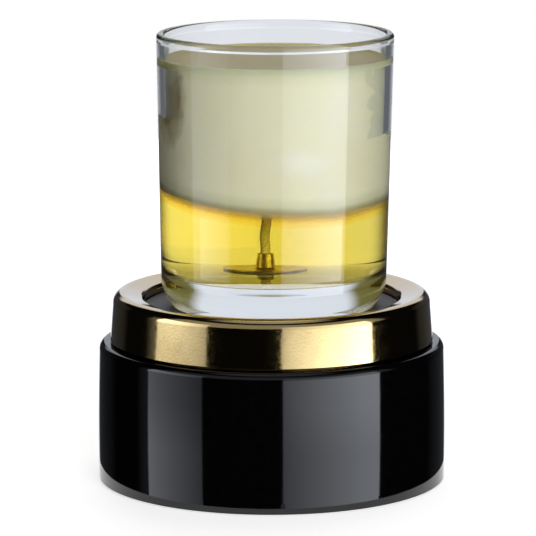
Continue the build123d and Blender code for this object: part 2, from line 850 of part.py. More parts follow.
def leads():
    """Insulated wires: block to switch, switch to fuse, and block to the return pin."""
    block_end_y = block_back - grub_spread / 2 + grub_diameter / 2
    turn_y = 16.0
    switch_end_y = receptacle_back_y() - seat_gap
    low_blade_z, high_blade_z = blade_heights()
    line = [
        (way_x, block_end_y, way_z),
        (way_x, turn_y, way_z),
        (way_x, turn_y, low_blade_z),
        (way_x, switch_end_y, low_blade_z),
    ]
    _, switched_x, back_x = crimp_points()
    switched = [
        (switched_x + seat_gap, fuse_y, fuse_z),
        (17.0, fuse_y, fuse_z),
        (17.0, 19.0, 45.0),
        (blade_x, 28.0, high_blade_z),
        (blade_x, switch_end_y, high_blade_z),
    ]
    neutral = [
        (back_x - seat_gap, return_pin[1], fuse_z),
        (-4.0, return_pin[1], fuse_z),
        (-7.0, -4.0, 36.0),
        (-way_x, 10.0, way_z),
        (-way_x, block_end_y, way_z),
    ]
    solids = {}
    for name, route in (("lead_line", line), ("lead_switched", switched), ("lead_neutral", neutral)):
        solids[name], radii = tube_along(route, lead_diameter)
        print(name, "bend radii", [round(r, 1) for r in radii])
    return solids


def jar_inside_radius(z):
    """Inner radius of the tapered tumbler at a height."""
    share = (z - plate_z) / jar_height
    return jar_foot_radius + (jar_mouth_radius - jar_foot_radius) * share - jar_wall


def on_plate(part):
    return Pos(jar_offset, 0, 0) * part


def jar():
    return on_plate(turned([
        (0, plate_z + jar_hollow),
        (jar_contact_radius, plate_z, jar_hollow),
        (jar_foot_radius, plate_z, jar_heel_rounding),
        (jar_mouth_radius, jar_top_z, jar_rim_rounding),
        (jar_mouth_radius - jar_wall, jar_top_z, jar_rim_rounding),
        (jar_inside_radius(jar_floor_z), jar_floor_z, jar_inner_rounding),
        (0, jar_floor_z),
    ]))


def wax_body():
    """All of the jar's filling, before the melt line divides it."""
    filling = on_plate(turned([
        (0, wax_top_z),
        (jar_inside_radius(wax_top_z), wax_top_z),
        (jar_inside_radius(jar_floor_z), jar_floor_z, jar_inner_rounding),
        (0, jar_floor_z),
    ]))
    return filling - tab_blank() - wick()


def melt_plane():
    """Tilted melt line: it falls to the right and to the front."""
    normal = (melt_fall_right / jar_foot_radius, -melt_fall_front / jar_foot_radius, 1)
    return Plane(origin=(jar_offset, 0, melt_z), z_dir=normal)


def solid_wax():
    return split(wax_body(), bisect_by=melt_plane(), keep=Keep.TOP)


def melted_wax():
    return split(wax_body(), bisect_by=melt_plane(), keep=Keep.BOTTOM)


def wick():
    foot = (jar_offset + tab_offset, 0, jar_floor_z + tab_thickness)
    bend_z = jar_floor_z + tab_neck_height + wick_bend_height
    points = [
        foot,
        (foot[0], 0, bend_z),
        (foot[0] + wick_lean, 0, wax_top_z - wick_below_top),
    ]
    return tube_along(points, wick_diameter)[0]


def tab_blank():
    """The wick tab before it is bored for the wick."""
    top_z = jar_floor_z + tab_neck_height
    blank = turned([
        (0, jar_floor_z),
        (tab_radius, jar_floor_z, tab_thickness / 3),
        (tab_radius, jar_floor_z + tab_thickness, tab_thickness / 3),
        (tab_neck_radius, jar_floor_z + tab_thickness, tab_neck_rounding),
        (tab_neck_radius, top_z, tab_neck_rounding / 2),
        (0, top_z),
    ])
    return Pos(jar_offset + tab_offset, 0, 0) * blank


def wick_tab():
    return tab_blank() - rod(jar_offset + tab_offset, 0, jar_floor_z + tab_thickness,
                             wick_diameter + 2 * wick_clearance, tab_neck_height)


nodes = {
    "ceramic_housing": ceramic_housing(),
    "gold_collar": gold_collar(),
    "collar_gasket": collar_gasket(),
    "hot_plate": hot_plate(),
    "plate_seal": plate_seal(),
    "plate_studs": plate_studs(),
    "mica_upper": mica_upper(),
    "heater_foil": heater_foil(),
    "mica_lower": mica_lower(),
    "insulation_pad": insulation_pad(),
    "clamp_plate": clamp_plate(),
    "clamp_washers": clamp_washers(),
    "clamp_nuts": clamp_nuts(),
    "heater_terminals": heater_terminals(),
    "terminal_bushings": terminal_bushings(),
    "crimp_sleeves": crimp_sleeves(),
    "thermal_fuse": thermal_fuse(),
    "fuse_sleeve": fuse_sleeve(),
    "fuse_clip": fuse_clip(),
    "clip_rivets": clip_rivets(),
    "tie_posts": tie_posts(),
    "base_plate": base_plate(),
    "base_screws": base_screws(),
    "rubber_feet": rubber_feet(),
    "cord_grommet": cord_grommet(),
    "terminal_block": terminal_block(),
    "terminal_tubes": terminal_tubes(),
    "terminal_screws": terminal_screws(),
    "block_screws": block_screws(),
    "switch_housing": switch_housing(),
    "switch_pivot": switch_pivot(),
    "switch_terminals": switch_terminals(),
    "spade_receptacles": spade_receptacles(),
    "rocker": rocker(),
    "contact_bridge": contact_bridge(),
    "jar": jar(),
    "solid_wax": solid_wax(),
    "melted_wax": melted_wax(),
    "wick": wick(),
    "wick_tab": wick_tab(),
}
nodes.update(leads())

os.makedirs("parts", exist_ok=True)
for name, part in nodes.items():
    export_step(part, f"parts/{name}.step")
print(len(nodes), "nodes, rocker pivot at", (0, round(pivot_y, 3), round(switch_z, 3)))
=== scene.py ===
import json
from math import atan2, ceil, cos, degrees, hypot, pi, radians, sin, tan

import bpy
import numpy as np
from mathutils import Euler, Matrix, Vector, noise


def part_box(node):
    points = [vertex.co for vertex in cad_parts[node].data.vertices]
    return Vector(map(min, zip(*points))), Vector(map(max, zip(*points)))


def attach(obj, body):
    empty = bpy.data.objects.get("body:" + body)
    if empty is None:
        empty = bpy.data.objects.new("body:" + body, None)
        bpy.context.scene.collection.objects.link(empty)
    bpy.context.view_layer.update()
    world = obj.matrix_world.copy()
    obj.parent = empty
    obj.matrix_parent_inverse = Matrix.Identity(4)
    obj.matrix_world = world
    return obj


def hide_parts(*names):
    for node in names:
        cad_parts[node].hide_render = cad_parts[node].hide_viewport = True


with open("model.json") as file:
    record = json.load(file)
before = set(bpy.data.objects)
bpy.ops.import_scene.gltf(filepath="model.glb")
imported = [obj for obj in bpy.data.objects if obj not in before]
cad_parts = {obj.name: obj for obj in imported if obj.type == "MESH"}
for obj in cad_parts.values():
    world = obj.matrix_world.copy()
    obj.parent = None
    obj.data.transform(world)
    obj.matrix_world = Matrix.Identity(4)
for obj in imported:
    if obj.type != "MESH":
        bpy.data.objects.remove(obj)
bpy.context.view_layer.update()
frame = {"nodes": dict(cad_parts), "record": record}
mm = 0.001
print("frame loaded", len(frame["nodes"]), "nodes")


# Colours, node and mesh helpers

def toLinear(hexColour):
    channels = [int(hexColour[i:i + 2], 16) / 255 for i in (1, 3, 5)]
    return [c / 12.92 if c <= 0.04045 else ((c + 0.055) / 1.055) ** 2.4 for c in channels] + [1.0]


def addNode(tree, kind, values=None):
    # a value goes to a socket, by name or number, or else to the node's own property; a node or an
    # outlet among the values is linked, and stops are a ramp's places with their hex colours
    node = tree.nodes.new("ShaderNode" + kind)
    for name, value in (values or {}).items():
        if isinstance(value, bpy.types.Node):
            value = value.outputs[0]
        if isinstance(value, bpy.types.NodeSocket):
            tree.links.new(value, node.inputs[name])
        elif name == "stops":
            marks = node.color_ramp.elements
            while len(marks) < len(value):
                marks.new(0.5)
            for mark, (place, hexColour) in zip(marks, value):
                mark.position = place
                mark.color = toLinear(hexColour)
        elif isinstance(name, int) or name in node.inputs:
            node.inputs[name].default_value = value
        else:
            setattr(node, name, value)
    return node


# values that make a Mix node blend colours, or multiply them
blend = {"data_type": "RGBA"}
times = {"data_type": "RGBA", "blend_type": "MULTIPLY", 0: 1.0}


def newMaterial(name):
    material = bpy.data.materials.new(name)
    material.use_nodes = True
    material.node_tree.nodes.clear()
    return material, material.node_tree


def patternAt(tree, sizeMm, stretch=(1, 1, 1), detail=2.0):
    # noise whose features are sizeMm across, read in the piece's own metres
    place = addNode(tree, "TexCoord").outputs["Object"]
    scaled = addNode(tree, "Mapping", {"Vector": place, "Scale": stretch})
    return addNode(tree, "TexNoise", {"Vector": scaled, "Scale": 1 / (sizeMm * mm), "Detail": detail})


def softened(corners, closed=False, arcStep=radians(7)):
    # corners are (radius, height[, rounding]) in mm; returns points with their outward normals,
    # for an outline that runs with the solid on its left
    leastRounding, oneStepUpTo, wideFrom, wideSteps = 0.02, 0.1, 100, 8
    count = len(corners)
    line = []
    for i, corner in enumerate(corners):
        here = Vector(corner[:2])
        rounding = corner[2] if len(corner) > 2 else 0
        if not closed and i in (0, count - 1):
            line.append((here, None))
            continue
        before = (Vector(corners[i - 1][:2]) - here).normalized()
        after = (Vector(corners[(i + 1) % count][:2]) - here).normalized()
        turn = pi - before.angle(after)
        rounding = max(rounding, leastRounding)
        reach = rounding * tan(turn / 2)
        middle = here + (before + after).normalized() * (rounding / cos(turn / 2))
        start, end = here + before * reach - middle, here + after * reach - middle
        sweep = atan2(start.x * end.y - start.y * end.x, start.dot(end))
        steps = max(2, ceil(abs(sweep) / arcStep)) if rounding > oneStepUpTo else 1
        steps = max(steps, wideSteps) if rounding > wideFrom else steps
        for k in range(steps + 1):
            angle = sweep * k / steps
            spoke = Vector((start.x * cos(angle) - start.y * sin(angle),
                            start.x * sin(angle) + start.y * cos(angle)))
            outward = spoke.normalized() * (1 if sweep > 0 else -1)
            line.append((middle + spoke, outward))
    for end, inner in ((0, 1), (-1, -2)):
        if line[end][1] is None:
            along = (line[inner][0] - line[end][0]) * (1 if end == 0 else -1)
            line[end] = (line[end][0], Vector((along.y, -along.x)).normalized())
    return line


def addObject(name, data):
    piece = bpy.data.objects.new(name, data)
    bpy.context.scene.collection.objects.link(piece)
    return piece


def appliedMesh(piece):
    # the mesh with its modifiers or its bevel applied
    return bpy.data.meshes.new_from_object(piece.evaluated_get(bpy.context.evaluated_depsgraph_get()))


def shadeSmooth(mesh):
    mesh.polygons.foreach_set("use_smooth", [True] * len(mesh.polygons))


def addMesh(name, verts, faces, normals=None):
    mesh = bpy.data.meshes.new(name)
    mesh.from_pydata([Vector(v) * mm for v in verts], [], faces)
    mesh.validate()
    shadeSmooth(mesh)
    if normals is not None:
        mesh.normals_split_custom_set_from_vertices([tuple(n) for n in normals])
    return addObject(name, mesh)


def facesBetween(rings, closed=False):
    # faces from each ring of vertices to the next; a ring of one vertex is a pole
    faces = []
    for low, high in zip(rings, rings[1:] + (rings[:1] if closed else [])):
        count = max(len(low), len(high))
        for k in range(count):
            n = (k + 1) % count
            if len(low) == 1:
                faces.append((low[0], high[n], high[k]))
            elif len(high) == 1:
                faces.append((low[k], low[n], high[0]))
            else:
                faces.append((low[k], low[n], high[n], high[k]))
    return faces


def turned(name, outline, closed=False, segments=192, centre=(0, 0)):
    # a turned piece: the outline's points swept round the axis
    verts, normals, rings = [], [], []
    for point, outward in outline:
        if point.x < 1e-6:
            rings.append([len(verts)])
            verts.append((centre[0], centre[1], point.y))
            normals.append((0, 0, 1 if outward.y > 0 else -1))
            continue
        rings.append(range(len(verts), len(verts) + segments))
        for k in range(segments):
            a = 2 * pi * k / segments
            verts.append((centre[0] + point.x * cos(a), centre[1] + point.x * sin(a), point.y))
            normals.append((outward.x * cos(a), outward.x * sin(a), outward.y))
    return addMesh(name, verts, facesBetween(rings, closed), normals)


def dress(piece, material):
    piece.data.materials.clear()
    piece.data.materials.append(material)


def spanOf(node):
    # radius, lowest and highest point of a turned node, in mm
    low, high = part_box(node)
    return (high.x - low.x) / 2 / mm, low.z / mm, high.z / mm


def standsFor(piece, node, body, material):
    dress(piece, material)
    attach(piece, body)
    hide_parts(node)


# Materials of the pieces that show

def blackGlaze():
    # black glazed stoneware: fired glass skin, mirror-like, with a faint orange peel
    material, tree = newMaterial("blackGlaze")
    peel = patternAt(tree, 9, detail=1.0)
    dust = patternAt(tree, 3, detail=3.0)
    colour = addNode(tree, "ValToRGB", {0: dust, "stops": [(0.3, "#020203"), (0.75, "#050506")]})
    rough = addNode(tree, "MapRange", {0: dust, 1: 0.3, 2: 0.8, 3: 0.045, 4: 0.07})
    waves = addNode(tree, "Bump", {"Height": peel, "Distance": 0.02 * mm, "Strength": 0.35})
    shader = addNode(tree, "BsdfPrincipled", {"Base Color": colour, "Roughness": rough, "Normal": waves,
                                              "IOR": 1.54})
    addNode(tree, "OutputMaterial", {"Surface": shader})
    return material


def goldLustre():
    # gold lustre fired over glaze: metal mirror that follows the glaze's slow ripples, with pinholes
    # and a clear skin; the pinholes are drawn coarser than they are, so that they show
    material, tree = newMaterial("goldLustre")
    ripple = patternAt(tree, 14, stretch=(1, 1, 0.5))
    speck = patternAt(tree, 0.9)
    height = addNode(tree, "Math", {"operation": "MULTIPLY_ADD", 0: speck, 1: 0.06, 2: ripple})
    tone = patternAt(tree, 22)
    colour = addNode(tree, "ValToRGB", {0: tone, "stops": [(0.3, "#D8B970"), (0.7, "#E3C580")]})
    rough = addNode(tree, "MapRange", {0: speck, 1: 0.35, 2: 0.75, 3: 0.06, 4: 0.16})
    waves = addNode(tree, "Bump", {"Height": height, "Distance": 0.25 * mm, "Strength": 0.5})
    shader = addNode(tree, "BsdfPrincipled", {"Base Color": colour, "Roughness": rough, "Normal": waves,
                                              "Metallic": 1.0, "Specular Tint": toLinear("#F4F4FF"),
                                              "Coat Weight": 1.0, "Coat Roughness": 0.05, "Coat IOR": 1.8})
    addNode(tree, "OutputMaterial", {"Surface": shader})
    return material


def nonStickCoat():
    # sprayed non-stick coat on cast aluminium: dark satin with a fine fleck and turning marks under it;
    # the fleck is drawn coarser than the real grit, so that it shows
    material, tree = newMaterial("nonStickCoat")
    fleck = patternAt(tree, 0.5, detail=3.0)
    place = addNode(tree, "TexCoord").outputs["Object"]
    markMm = 1.2
    wave = {"wave_type": "RINGS", "rings_direction": "Z", "Scale": 1 / (20 * markMm * mm), "Distortion": 0.4}
    rings = addNode(tree, "TexWave", {"Vector": place, **wave}).outputs["Fac"]
    colour = addNode(tree, "ValToRGB", {0: fleck, "stops": [(0.35, "#413F41"), (0.7, "#535153")]})
    height = addNode(tree, "Math", {"operation": "MULTIPLY_ADD", 0: rings, 1: 0.5, 2: fleck})
    grain = addNode(tree, "Bump", {"Height": height, "Distance": 0.03 * mm, "Strength": 0.6})
    shader = addNode(tree, "BsdfPrincipled", {"Base Color": colour, "Normal": grain, "Roughness": 0.5,
                                              "IOR": 1.4})
    addNode(tree, "OutputMaterial", {"Surface": shader})
    return material


clearLooks = {
    # pressed and fire-polished soda-lime glass: clear, faintly blue-green in the thick base
    "tumblerGlass": dict(ior=1.5, depth="#C6D6DD", density=3.0, lampTint="#F6F9F9", wavesMm=18),
    # melted vegetable wax: clear oil-like liquid, yellow by its depth
    "meltedWax": dict(ior=1.44, depth="#FDF230", density=32.0, lampTint="#FFFDF4"),
}


def clearMaterial(name):
    # lamps and the light inside the candle go straight through; what is seen is still bent and mirrored
    material, tree = newMaterial(name)
    look = clearLooks[name]
    values = {"Base Color": toLinear("#FFFFFF"), "Roughness": 0.0, "IOR": look["ior"],
              "Transmission Weight": 1.0}
    if "wavesMm" in look:
        wave = patternAt(tree, look["wavesMm"], stretch=(1, 1, 0.4), detail=1.0)
        values["Normal"] = addNode(tree, "Bump", {"Height": wave, "Distance": 0.06 * mm, "Strength": 0.4})
    shader = addNode(tree, "BsdfPrincipled", values)
    path = addNode(tree, "LightPath").outputs
    straight = addNode(tree, "Math", {"operation": "MAXIMUM", 0: path["Is Shadow Ray"],
                                      1: path["Is Diffuse Ray"]})
    clear = addNode(tree, "BsdfTransparent", {"Color": toLinear(look["lampTint"])})
    surface = addNode(tree, "MixShader", {0: straight, 1: shader, 2: clear})
    depth = addNode(tree, "VolumeAbsorption", {"Color": toLinear(look["depth"]), "Density": look["density"]})
    addNode(tree, "OutputMaterial", {"Surface": surface, "Volume": depth})
    return material


waxLook = {
    # patches on the wax: centre and reach in mm from the jar's axis, edge is how sharp they end
    "soaked": dict(centre=(-38.5, -18.0, 145), reach=(9, 12, 15), colour="#A59766", edge=(1.1, 1.75)),
    "smeared": dict(centre=(11.0, -41.0, 126), reach=(8, 7, 5), colour="#EEEBD6", edge=(0.9, 1.9)),
    "cracked": dict(centre=(42.5, -8.0, 144), reach=(4, 6, 12), colour="#5D635A", edge=(1.15, 1.5)),
    # depths below the top, and heights over the melt line between which a change runs, in mm
    "greyingDepth": 7.0, "greyingEndDepth": 0.8, "meltWaves": 2.4,
    "haze": (1.0, 10.0), "veil": (1.0, 6.4), "amber": (-1.8, 4.5),
    # how far a face turns up to get the painted shade of the top, and the part of the streaks that are cracks
    "shadedTopFacing": (0.35, 0.8), "cracks": (0.54, 0.58), "raggedness": 1.1,
}


def patchMask(tree, patch, ragged):
    # 1 inside a soft-edged egg shape with a ragged outline
    place = addNode(tree, "TexCoord").outputs["Object"]
    centre = [(c + o) * mm for c, o in zip(patch["centre"], (candle["x"], 0, 0))]
    offset = addNode(tree, "VectorMath", {"operation": "SUBTRACT", 0: place, 1: centre})
    scale = [1 / (r * mm) for r in patch["reach"]]
    unit = addNode(tree, "VectorMath", {"operation": "MULTIPLY", 0: offset, 1: scale})
    distance = addNode(tree, "VectorMath", {"operation": "LENGTH", 0: unit}).outputs["Value"]
    uneven = addNode(tree, "Math", {"operation": "MULTIPLY_ADD", 0: ragged, 1: waxLook["raggedness"],
                                    2: distance})
    inner, outer = patch["edge"]
    return addNode(tree, "MapRange", {0: uneven, 1: inner, 2: outer, 3: 1.0, 4: 0.0})


def solidWax(meltNormal, meltPoint):
    # solid vegetable wax: ivory, soft light inside it, greyer and bluer towards the top, patches where it
    # left the glass, lower edge half melted, amber and see-through
    material, tree = newMaterial("solidWax")
    look = waxLook
    cloud = patternAt(tree, 26, stretch=(1, 1, 0.6), detail=3.0)
    fine = patternAt(tree, 2.5, detail=3.0)
    ragged = patternAt(tree, 7, stretch=(1, 1, 0.7), detail=4.0)
    place = addNode(tree, "TexCoord").outputs["Object"]
    offset = addNode(tree, "VectorMath", {"operation": "SUBTRACT", 0: place, 1: [c * mm for c in meltPoint]})
    above = addNode(tree, "VectorMath", {"operation": "DOT_PRODUCT", 0: offset, 1: meltNormal})
    heightMm = addNode(tree, "Math", {"operation": "MULTIPLY", 0: above.outputs["Value"], 1: 1 / mm})
    wavy = addNode(tree, "Math", {"operation": "MULTIPLY_ADD", 0: cloud, 1: look["meltWaves"], 2: heightMm})
    z = addNode(tree, "SeparateXYZ", {0: place}).outputs["Z"]
    depth = addNode(tree, "MapRange", {0: z, 1: (candle["waxTop"] - look["greyingDepth"]) * mm,
                                       2: (candle["waxTop"] - look["greyingEndDepth"]) * mm})

    body = addNode(tree, "ValToRGB", {0: cloud, "stops": [(0.3, "#E5E0BA"), (0.7, "#EAE7C9")]})
    haze = addNode(tree, "MapRange", {0: wavy, 1: look["haze"][0], 2: look["haze"][1]})
    slush = addNode(tree, "ValToRGB", {0: haze, "stops": [(0.0, "#D6B671"), (0.25, "#C9C5A8"),
                                                          (0.55, "#E6E8DC"), (1.0, "#FFFFFF")]})
    # greyer and bluer over the last few mm below the top
    cool = addNode(tree, "ValToRGB", {0: depth, "stops": [(0.0, "#FFFFFF"), (0.6, "#F0F3EF"),
                                                          (0.95, "#D5DBD6"), (1.0, "#C6CECB")]})
    colour = addNode(tree, "Mix", {**times, 6: body, 7: slush})
    # painted shade: faces that turn up, the open top, are made browner and darker than the sides
    upward = addNode(tree, "SeparateXYZ", {0: addNode(tree, "TexCoord").outputs["Normal"]}).outputs["Z"]
    shadedTopFacing = addNode(tree, "MapRange", {0: upward, 1: look["shadedTopFacing"][0], 2: look["shadedTopFacing"][1]})
    tone = addNode(tree, "Mix", {**blend, 0: shadedTopFacing, 6: cool, 7: toLinear("#E8DCC0")})
    colour = addNode(tree, "Mix", {**times, 6: colour.outputs[2], 7: tone.outputs[2]})
    streak = patternAt(tree, 2.2, stretch=(1, 1, 0.35), detail=3.0)
    split = addNode(tree, "MapRange", {0: streak, 1: look["cracks"][0], 2: look["cracks"][1]})
    masks = {name: patchMask(tree, look[name], ragged) for name in ("soaked", "smeared", "cracked")}
    masks["cracked"] = addNode(tree, "Math", {"operation": "MULTIPLY", 0: masks["cracked"], 1: split})
    for name, mask in masks.items():
        colour = addNode(tree, "Mix", {**blend, 0: mask, 6: colour.outputs[2],
                                       7: toLinear(look[name]["colour"])})
    grain = addNode(tree, "Bump", {"Height": fine, "Distance": 0.05 * mm, "Strength": 0.4})
    shader = addNode(tree, "BsdfPrincipled", {"Base Color": colour.outputs[2], "Normal": grain,
                                              "Roughness": 0.5, "IOR": 1.44, "Subsurface Weight": 0.7,
                                              "Subsurface Scale": 7 * mm,
                                              "Subsurface Radius": (1.0, 0.9, 0.35)})
    thickness = addNode(tree, "MapRange", {0: wavy, 1: look["veil"][0], 2: look["veil"][1]})
    edge = addNode(tree, "MapRange", {0: wavy, 1: look["amber"][0], 2: look["amber"][1]})
    amber = addNode(tree, "ValToRGB", {0: edge, "stops": [(0.0, "#FFFFFF"), (0.35, "#FFF8E2"),
                                                          (0.7, "#F4E4B8"), (1.0, "#E0C68C")]})
    clear = addNode(tree, "BsdfTransparent", {"Color": amber})
    veil = addNode(tree, "MixShader", {0: thickness, 1: clear, 2: shader})
    addNode(tree, "OutputMaterial", {"Surface": veil})
    return material


def braidedCotton():
    # braided cotton wick soaked in wax: yellowed, light shines through it; its threads are drawn a
    # little coarser than they are, so that they show
    material, tree = newMaterial("braidedCotton")
    fibre = patternAt(tree, 0.35, stretch=(1, 1, 0.3), detail=3.0)
    colour = addNode(tree, "ValToRGB", {0: fibre, "stops": [(0.3, "#D6CA94"), (0.7, "#FFF8E2")]})
    threads = addNode(tree, "Bump", {"Height": fibre, "Distance": 0.08 * mm})
    shader = addNode(tree, "BsdfPrincipled", {"Base Color": colour, "Normal": threads, "Roughness": 0.6,
                                              "Sheen Weight": 0.2, "Transmission Weight": 0.1,
                                              "IOR": 1.45})
    addNode(tree, "OutputMaterial", {"Surface": shader})
    return material


def pressedBrass():
    # thin pressed brass of the wick tab: dull yellow with draw lines, darker where wax stains it
    material, tree = newMaterial("pressedBrass")
    stain = patternAt(tree, 2.0, detail=4.0)
    lines = patternAt(tree, 0.25, stretch=(1, 1, 0.1))
    colour = addNode(tree, "ValToRGB", {0: stain, "stops": [(0.35, "#C2AC6C"), (0.7, "#F0DEA4")]})
    rough = addNode(tree, "MapRange", {0: lines, 1: 0.3, 2: 0.7, 3: 0.25, 4: 0.45})
    draws = addNode(tree, "Bump", {"Height": lines, "Distance": 0.02 * mm})
    shader = addNode(tree, "BsdfPrincipled", {"Base Color": colour, "Roughness": rough, "Normal": draws,
                                              "Metallic": 1.0})
    addNode(tree, "OutputMaterial", {"Surface": shader})
    return material


# Materials of the other pieces, in two families

def slotMaterial(name, look):
    # the colour drifts and a grain stands proud, sizesMm are theirs and the grain's depth; on metal, which
    # has no ior here, the grain is fine lines along one way; it is drawn too coarse, so that it shows
    material, tree = newMaterial(name)
    isMetal = "ior" not in look
    driftMm, grainMm, depthMm = look["sizesMm"]
    detail, smoother, rougher, strength = (4.0, 0.06, 0.08, 0.5) if isMetal else (3.0, 0.04, 0.05, 0.6)
    drift = patternAt(tree, driftMm, detail=detail)
    grain = patternAt(tree, grainMm, look.get("stretch", (1, 1, 1)))
    colour = addNode(tree, "ValToRGB", {0: drift, "stops": [(0.3, look["dark"]), (0.7, look["light"])]})
    rough = addNode(tree, "MapRange", {0: grain, 1: 0.3, 2: 0.7, 3: look["roughness"] - smoother,
                                       4: look["roughness"] + rougher})
    bumps = addNode(tree, "Bump", {"Height": grain, "Distance": depthMm * mm, "Strength": strength})
    kind = {"Metallic": 1.0} if isMetal else {"IOR": look["ior"], "Sheen Weight": look.get("sheen", 0.0)}
    kind.update({"Base Color": colour, "Roughness": rough, "Normal": bumps})
    shader = addNode(tree, "BsdfPrincipled", kind)
    addNode(tree, "OutputMaterial", {"Surface": shader})
    return material


slotLooks = {
    # silicone and rubber: matte, dusty, soft sheen at the edges
    "black_silicone": dict(dark="#0E0E0F", light="#171718", roughness=0.6, ior=1.43, sizesMm=(6, 0.4, 0.02),
                           sheen=0.1),
    "red_silicone": dict(dark="#7E2318", light="#8F2C1E", roughness=0.6, ior=1.43, sizesMm=(6, 0.4, 0.02),
                         sheen=0.1),
    "foot_rubber": dict(dark="#161617", light="#232324", roughness=0.75, ior=1.52, sizesMm=(3, 0.3, 0.03),
                        sheen=0.2),
    "grommet_rubber": dict(dark="#0F0F10", light="#1A1A1B", roughness=0.55, ior=1.52, sizesMm=(4, 0.4, 0.02),
                           sheen=0.1),
    # nylon and polypropylene: spark-eroded grain on the base, smoother on the switch
    "base_plastic": dict(dark="#101011", light="#1A1A1B", roughness=0.5, ior=1.5, sizesMm=(12, 0.5, 0.05)),
    "switch_plastic": dict(dark="#0B0B0C", light="#131314", roughness=0.34, ior=1.53, sizesMm=(5, 0.4, 0.02)),
    "rocker_plastic": dict(dark="#0C0C0D", light="#141415", roughness=0.2, ior=1.53, sizesMm=(5, 1.5, 0.01)),
    "lead_black": dict(dark="#0E0E0E", light="#191919", roughness=0.5, ior=1.43, sizesMm=(4, 0.5, 0.01)),
    "lead_white": dict(dark="#C4C4C0", light="#D8D8D4", roughness=0.5, ior=1.43, sizesMm=(4, 0.5, 0.01)),
    # fired steatite and fibre: chalky, open grain
    "steatite": dict(dark="#CFCABB", light="#DEDACD", roughness=0.6, ior=1.6, sizesMm=(3, 0.3, 0.02)),
    "block_ceramic": dict(dark="#CAC5B5", light="#DAD6C8", roughness=0.6, ior=1.6, sizesMm=(5, 0.4, 0.03)),
    "ceramic_fibre": dict(dark="#D3D0C6", light="#E4E2DA", roughness=0.95, ior=1.4, sizesMm=(4, 0.5, 0.2),
                          stretch=(1, 1, 4), sheen=0.3),
    "glass_sleeve": dict(dark="#C8C2AC", light="#DDD8C6", roughness=0.7, ior=1.5, sizesMm=(2, 0.4, 0.1),
                         stretch=(1, 4, 4), sheen=0.2),
    # mica: silvery brown flakes
    "mica": dict(dark="#7E6C47", light="#A8966F", roughness=0.3, ior=1.58, sizesMm=(3, 1.2, 0.02),
                 stretch=(1, 1, 8)),
    # zinc plate: bright blue-grey; heater alloy: dull; brass: turned rings; case: drawn lines
    "zinc_steel": dict(dark="#A2A5A9", light="#BEC1C4", roughness=0.3, sizesMm=(4, 0.3, 0.01),
                       stretch=(1, 1, 6)),
    "heater_alloy": dict(dark="#6F6B66", light="#8D8983", roughness=0.4, sizesMm=(4, 0.3, 0.01),
                         stretch=(1, 5, 1)),
    "brass_parts": dict(dark="#A98643", light="#C5A562", roughness=0.28, sizesMm=(3, 0.25, 0.01),
                        stretch=(1, 1, 6)),
    "fuse_case": dict(dark="#B4B5B8", light="#CDCED0", roughness=0.3, sizesMm=(3, 0.25, 0.01),
                      stretch=(0.2, 1, 1)),
}
slotMaterials = {name: slotMaterial(name, look) for name, look in slotLooks.items()}
print("materials made")


# The housing: a turned shell, cut for the switch and the cord gland at the back

housing = {
    "radius": 65.0, "bulge": 0.8, "bulgeHeight": 20.0, "bulgeRounding": 900.0, "footSwell": 0.45,
    "shoulderDrop": 1.7, "shoulderRounding": 2.6, "footRounding": 4.0, "wall": 6.0,
    "rebateDepth": 4.2, "rebateWidth": 2.0, "ceiling": 5.0, "ceilingRounding": 3.0, "openingRadius": 55.1,
    "pocket": (23.8, 16.8), "panelDepth": 2.7, "switchHole": (21.8, 14.6), "cutDepth": 30,
    "glandFlange": 7.1, "glandFlangeDepth": 1.6, "glandBore": 5.4,
}


def cutAway(piece, cutters):
    for k, cutter in enumerate(cutters):
        modifier = piece.modifiers.new(f"cut{k}", "BOOLEAN")
        modifier.operation = "DIFFERENCE"
        modifier.object = cutter
        modifier.solver = "EXACT"
    cut = appliedMesh(piece)
    piece.modifiers.clear()
    piece.data = cut
    for cutter in cutters:
        bpy.data.objects.remove(cutter)


def boxCutter(centre, size):
    half = [s / 2 for s in size]
    verts = [(centre[0] + i * half[0], centre[1] + j * half[1], centre[2] + k * half[2])
             for i in (-1, 1) for j in (-1, 1) for k in (-1, 1)]
    faces = [(0, 1, 3, 2), (4, 6, 7, 5), (0, 4, 5, 1), (2, 3, 7, 6), (0, 2, 6, 4), (1, 5, 7, 3)]
    return addMesh("cutter", verts, faces)


def roundCutter(x, z, radius, fromY, toY, steps=64):
    verts = [(x + radius * cos(2 * pi * k / steps), y, z + radius * sin(2 * pi * k / steps))
             for y in (fromY, toY) for k in range(steps)]
    sides = [(k, k + steps, (k + 1) % steps + steps, (k + 1) % steps) for k in range(steps)]
    caps = [tuple(range(steps)), tuple(reversed(range(steps, 2 * steps)))]
    return addMesh("cutter", verts, sides + caps)


def smoothTurnedFaces(piece, outline):
    # shading normals from the outline where a face lies on the turned surface, flat ones in the cuts;
    # a face lies on it when its own normal agrees at least this well
    agreement = 0.97
    points = np.array([p for p, _ in outline])
    outward = np.array([n for _, n in outline])
    mesh = piece.data
    normals = np.zeros((len(mesh.loops), 3))
    for face in mesh.polygons:
        for corner in face.loop_indices:
            at = mesh.vertices[mesh.loops[corner].vertex_index].co / mm
            r = hypot(at.x, at.y)
            near = np.argsort((points[:, 0] - r) ** 2 + (points[:, 1] - at.z) ** 2)[:2]
            a, b = points[near[0]], points[near[1]]
            span = b - a
            share = float(np.clip(np.dot((r, at.z) - a, span) / max(np.dot(span, span), 1e-9), 0, 1))
            n2 = outward[near[0]] * (1 - share) + outward[near[1]] * share
            guess = Vector((n2[0] * at.x / r, n2[0] * at.y / r, n2[1])).normalized()
            normals[corner] = guess if guess.dot(face.normal) > agreement else face.normal
    shadeSmooth(mesh)
    mesh.normals_split_custom_set([tuple(n) for n in normals])


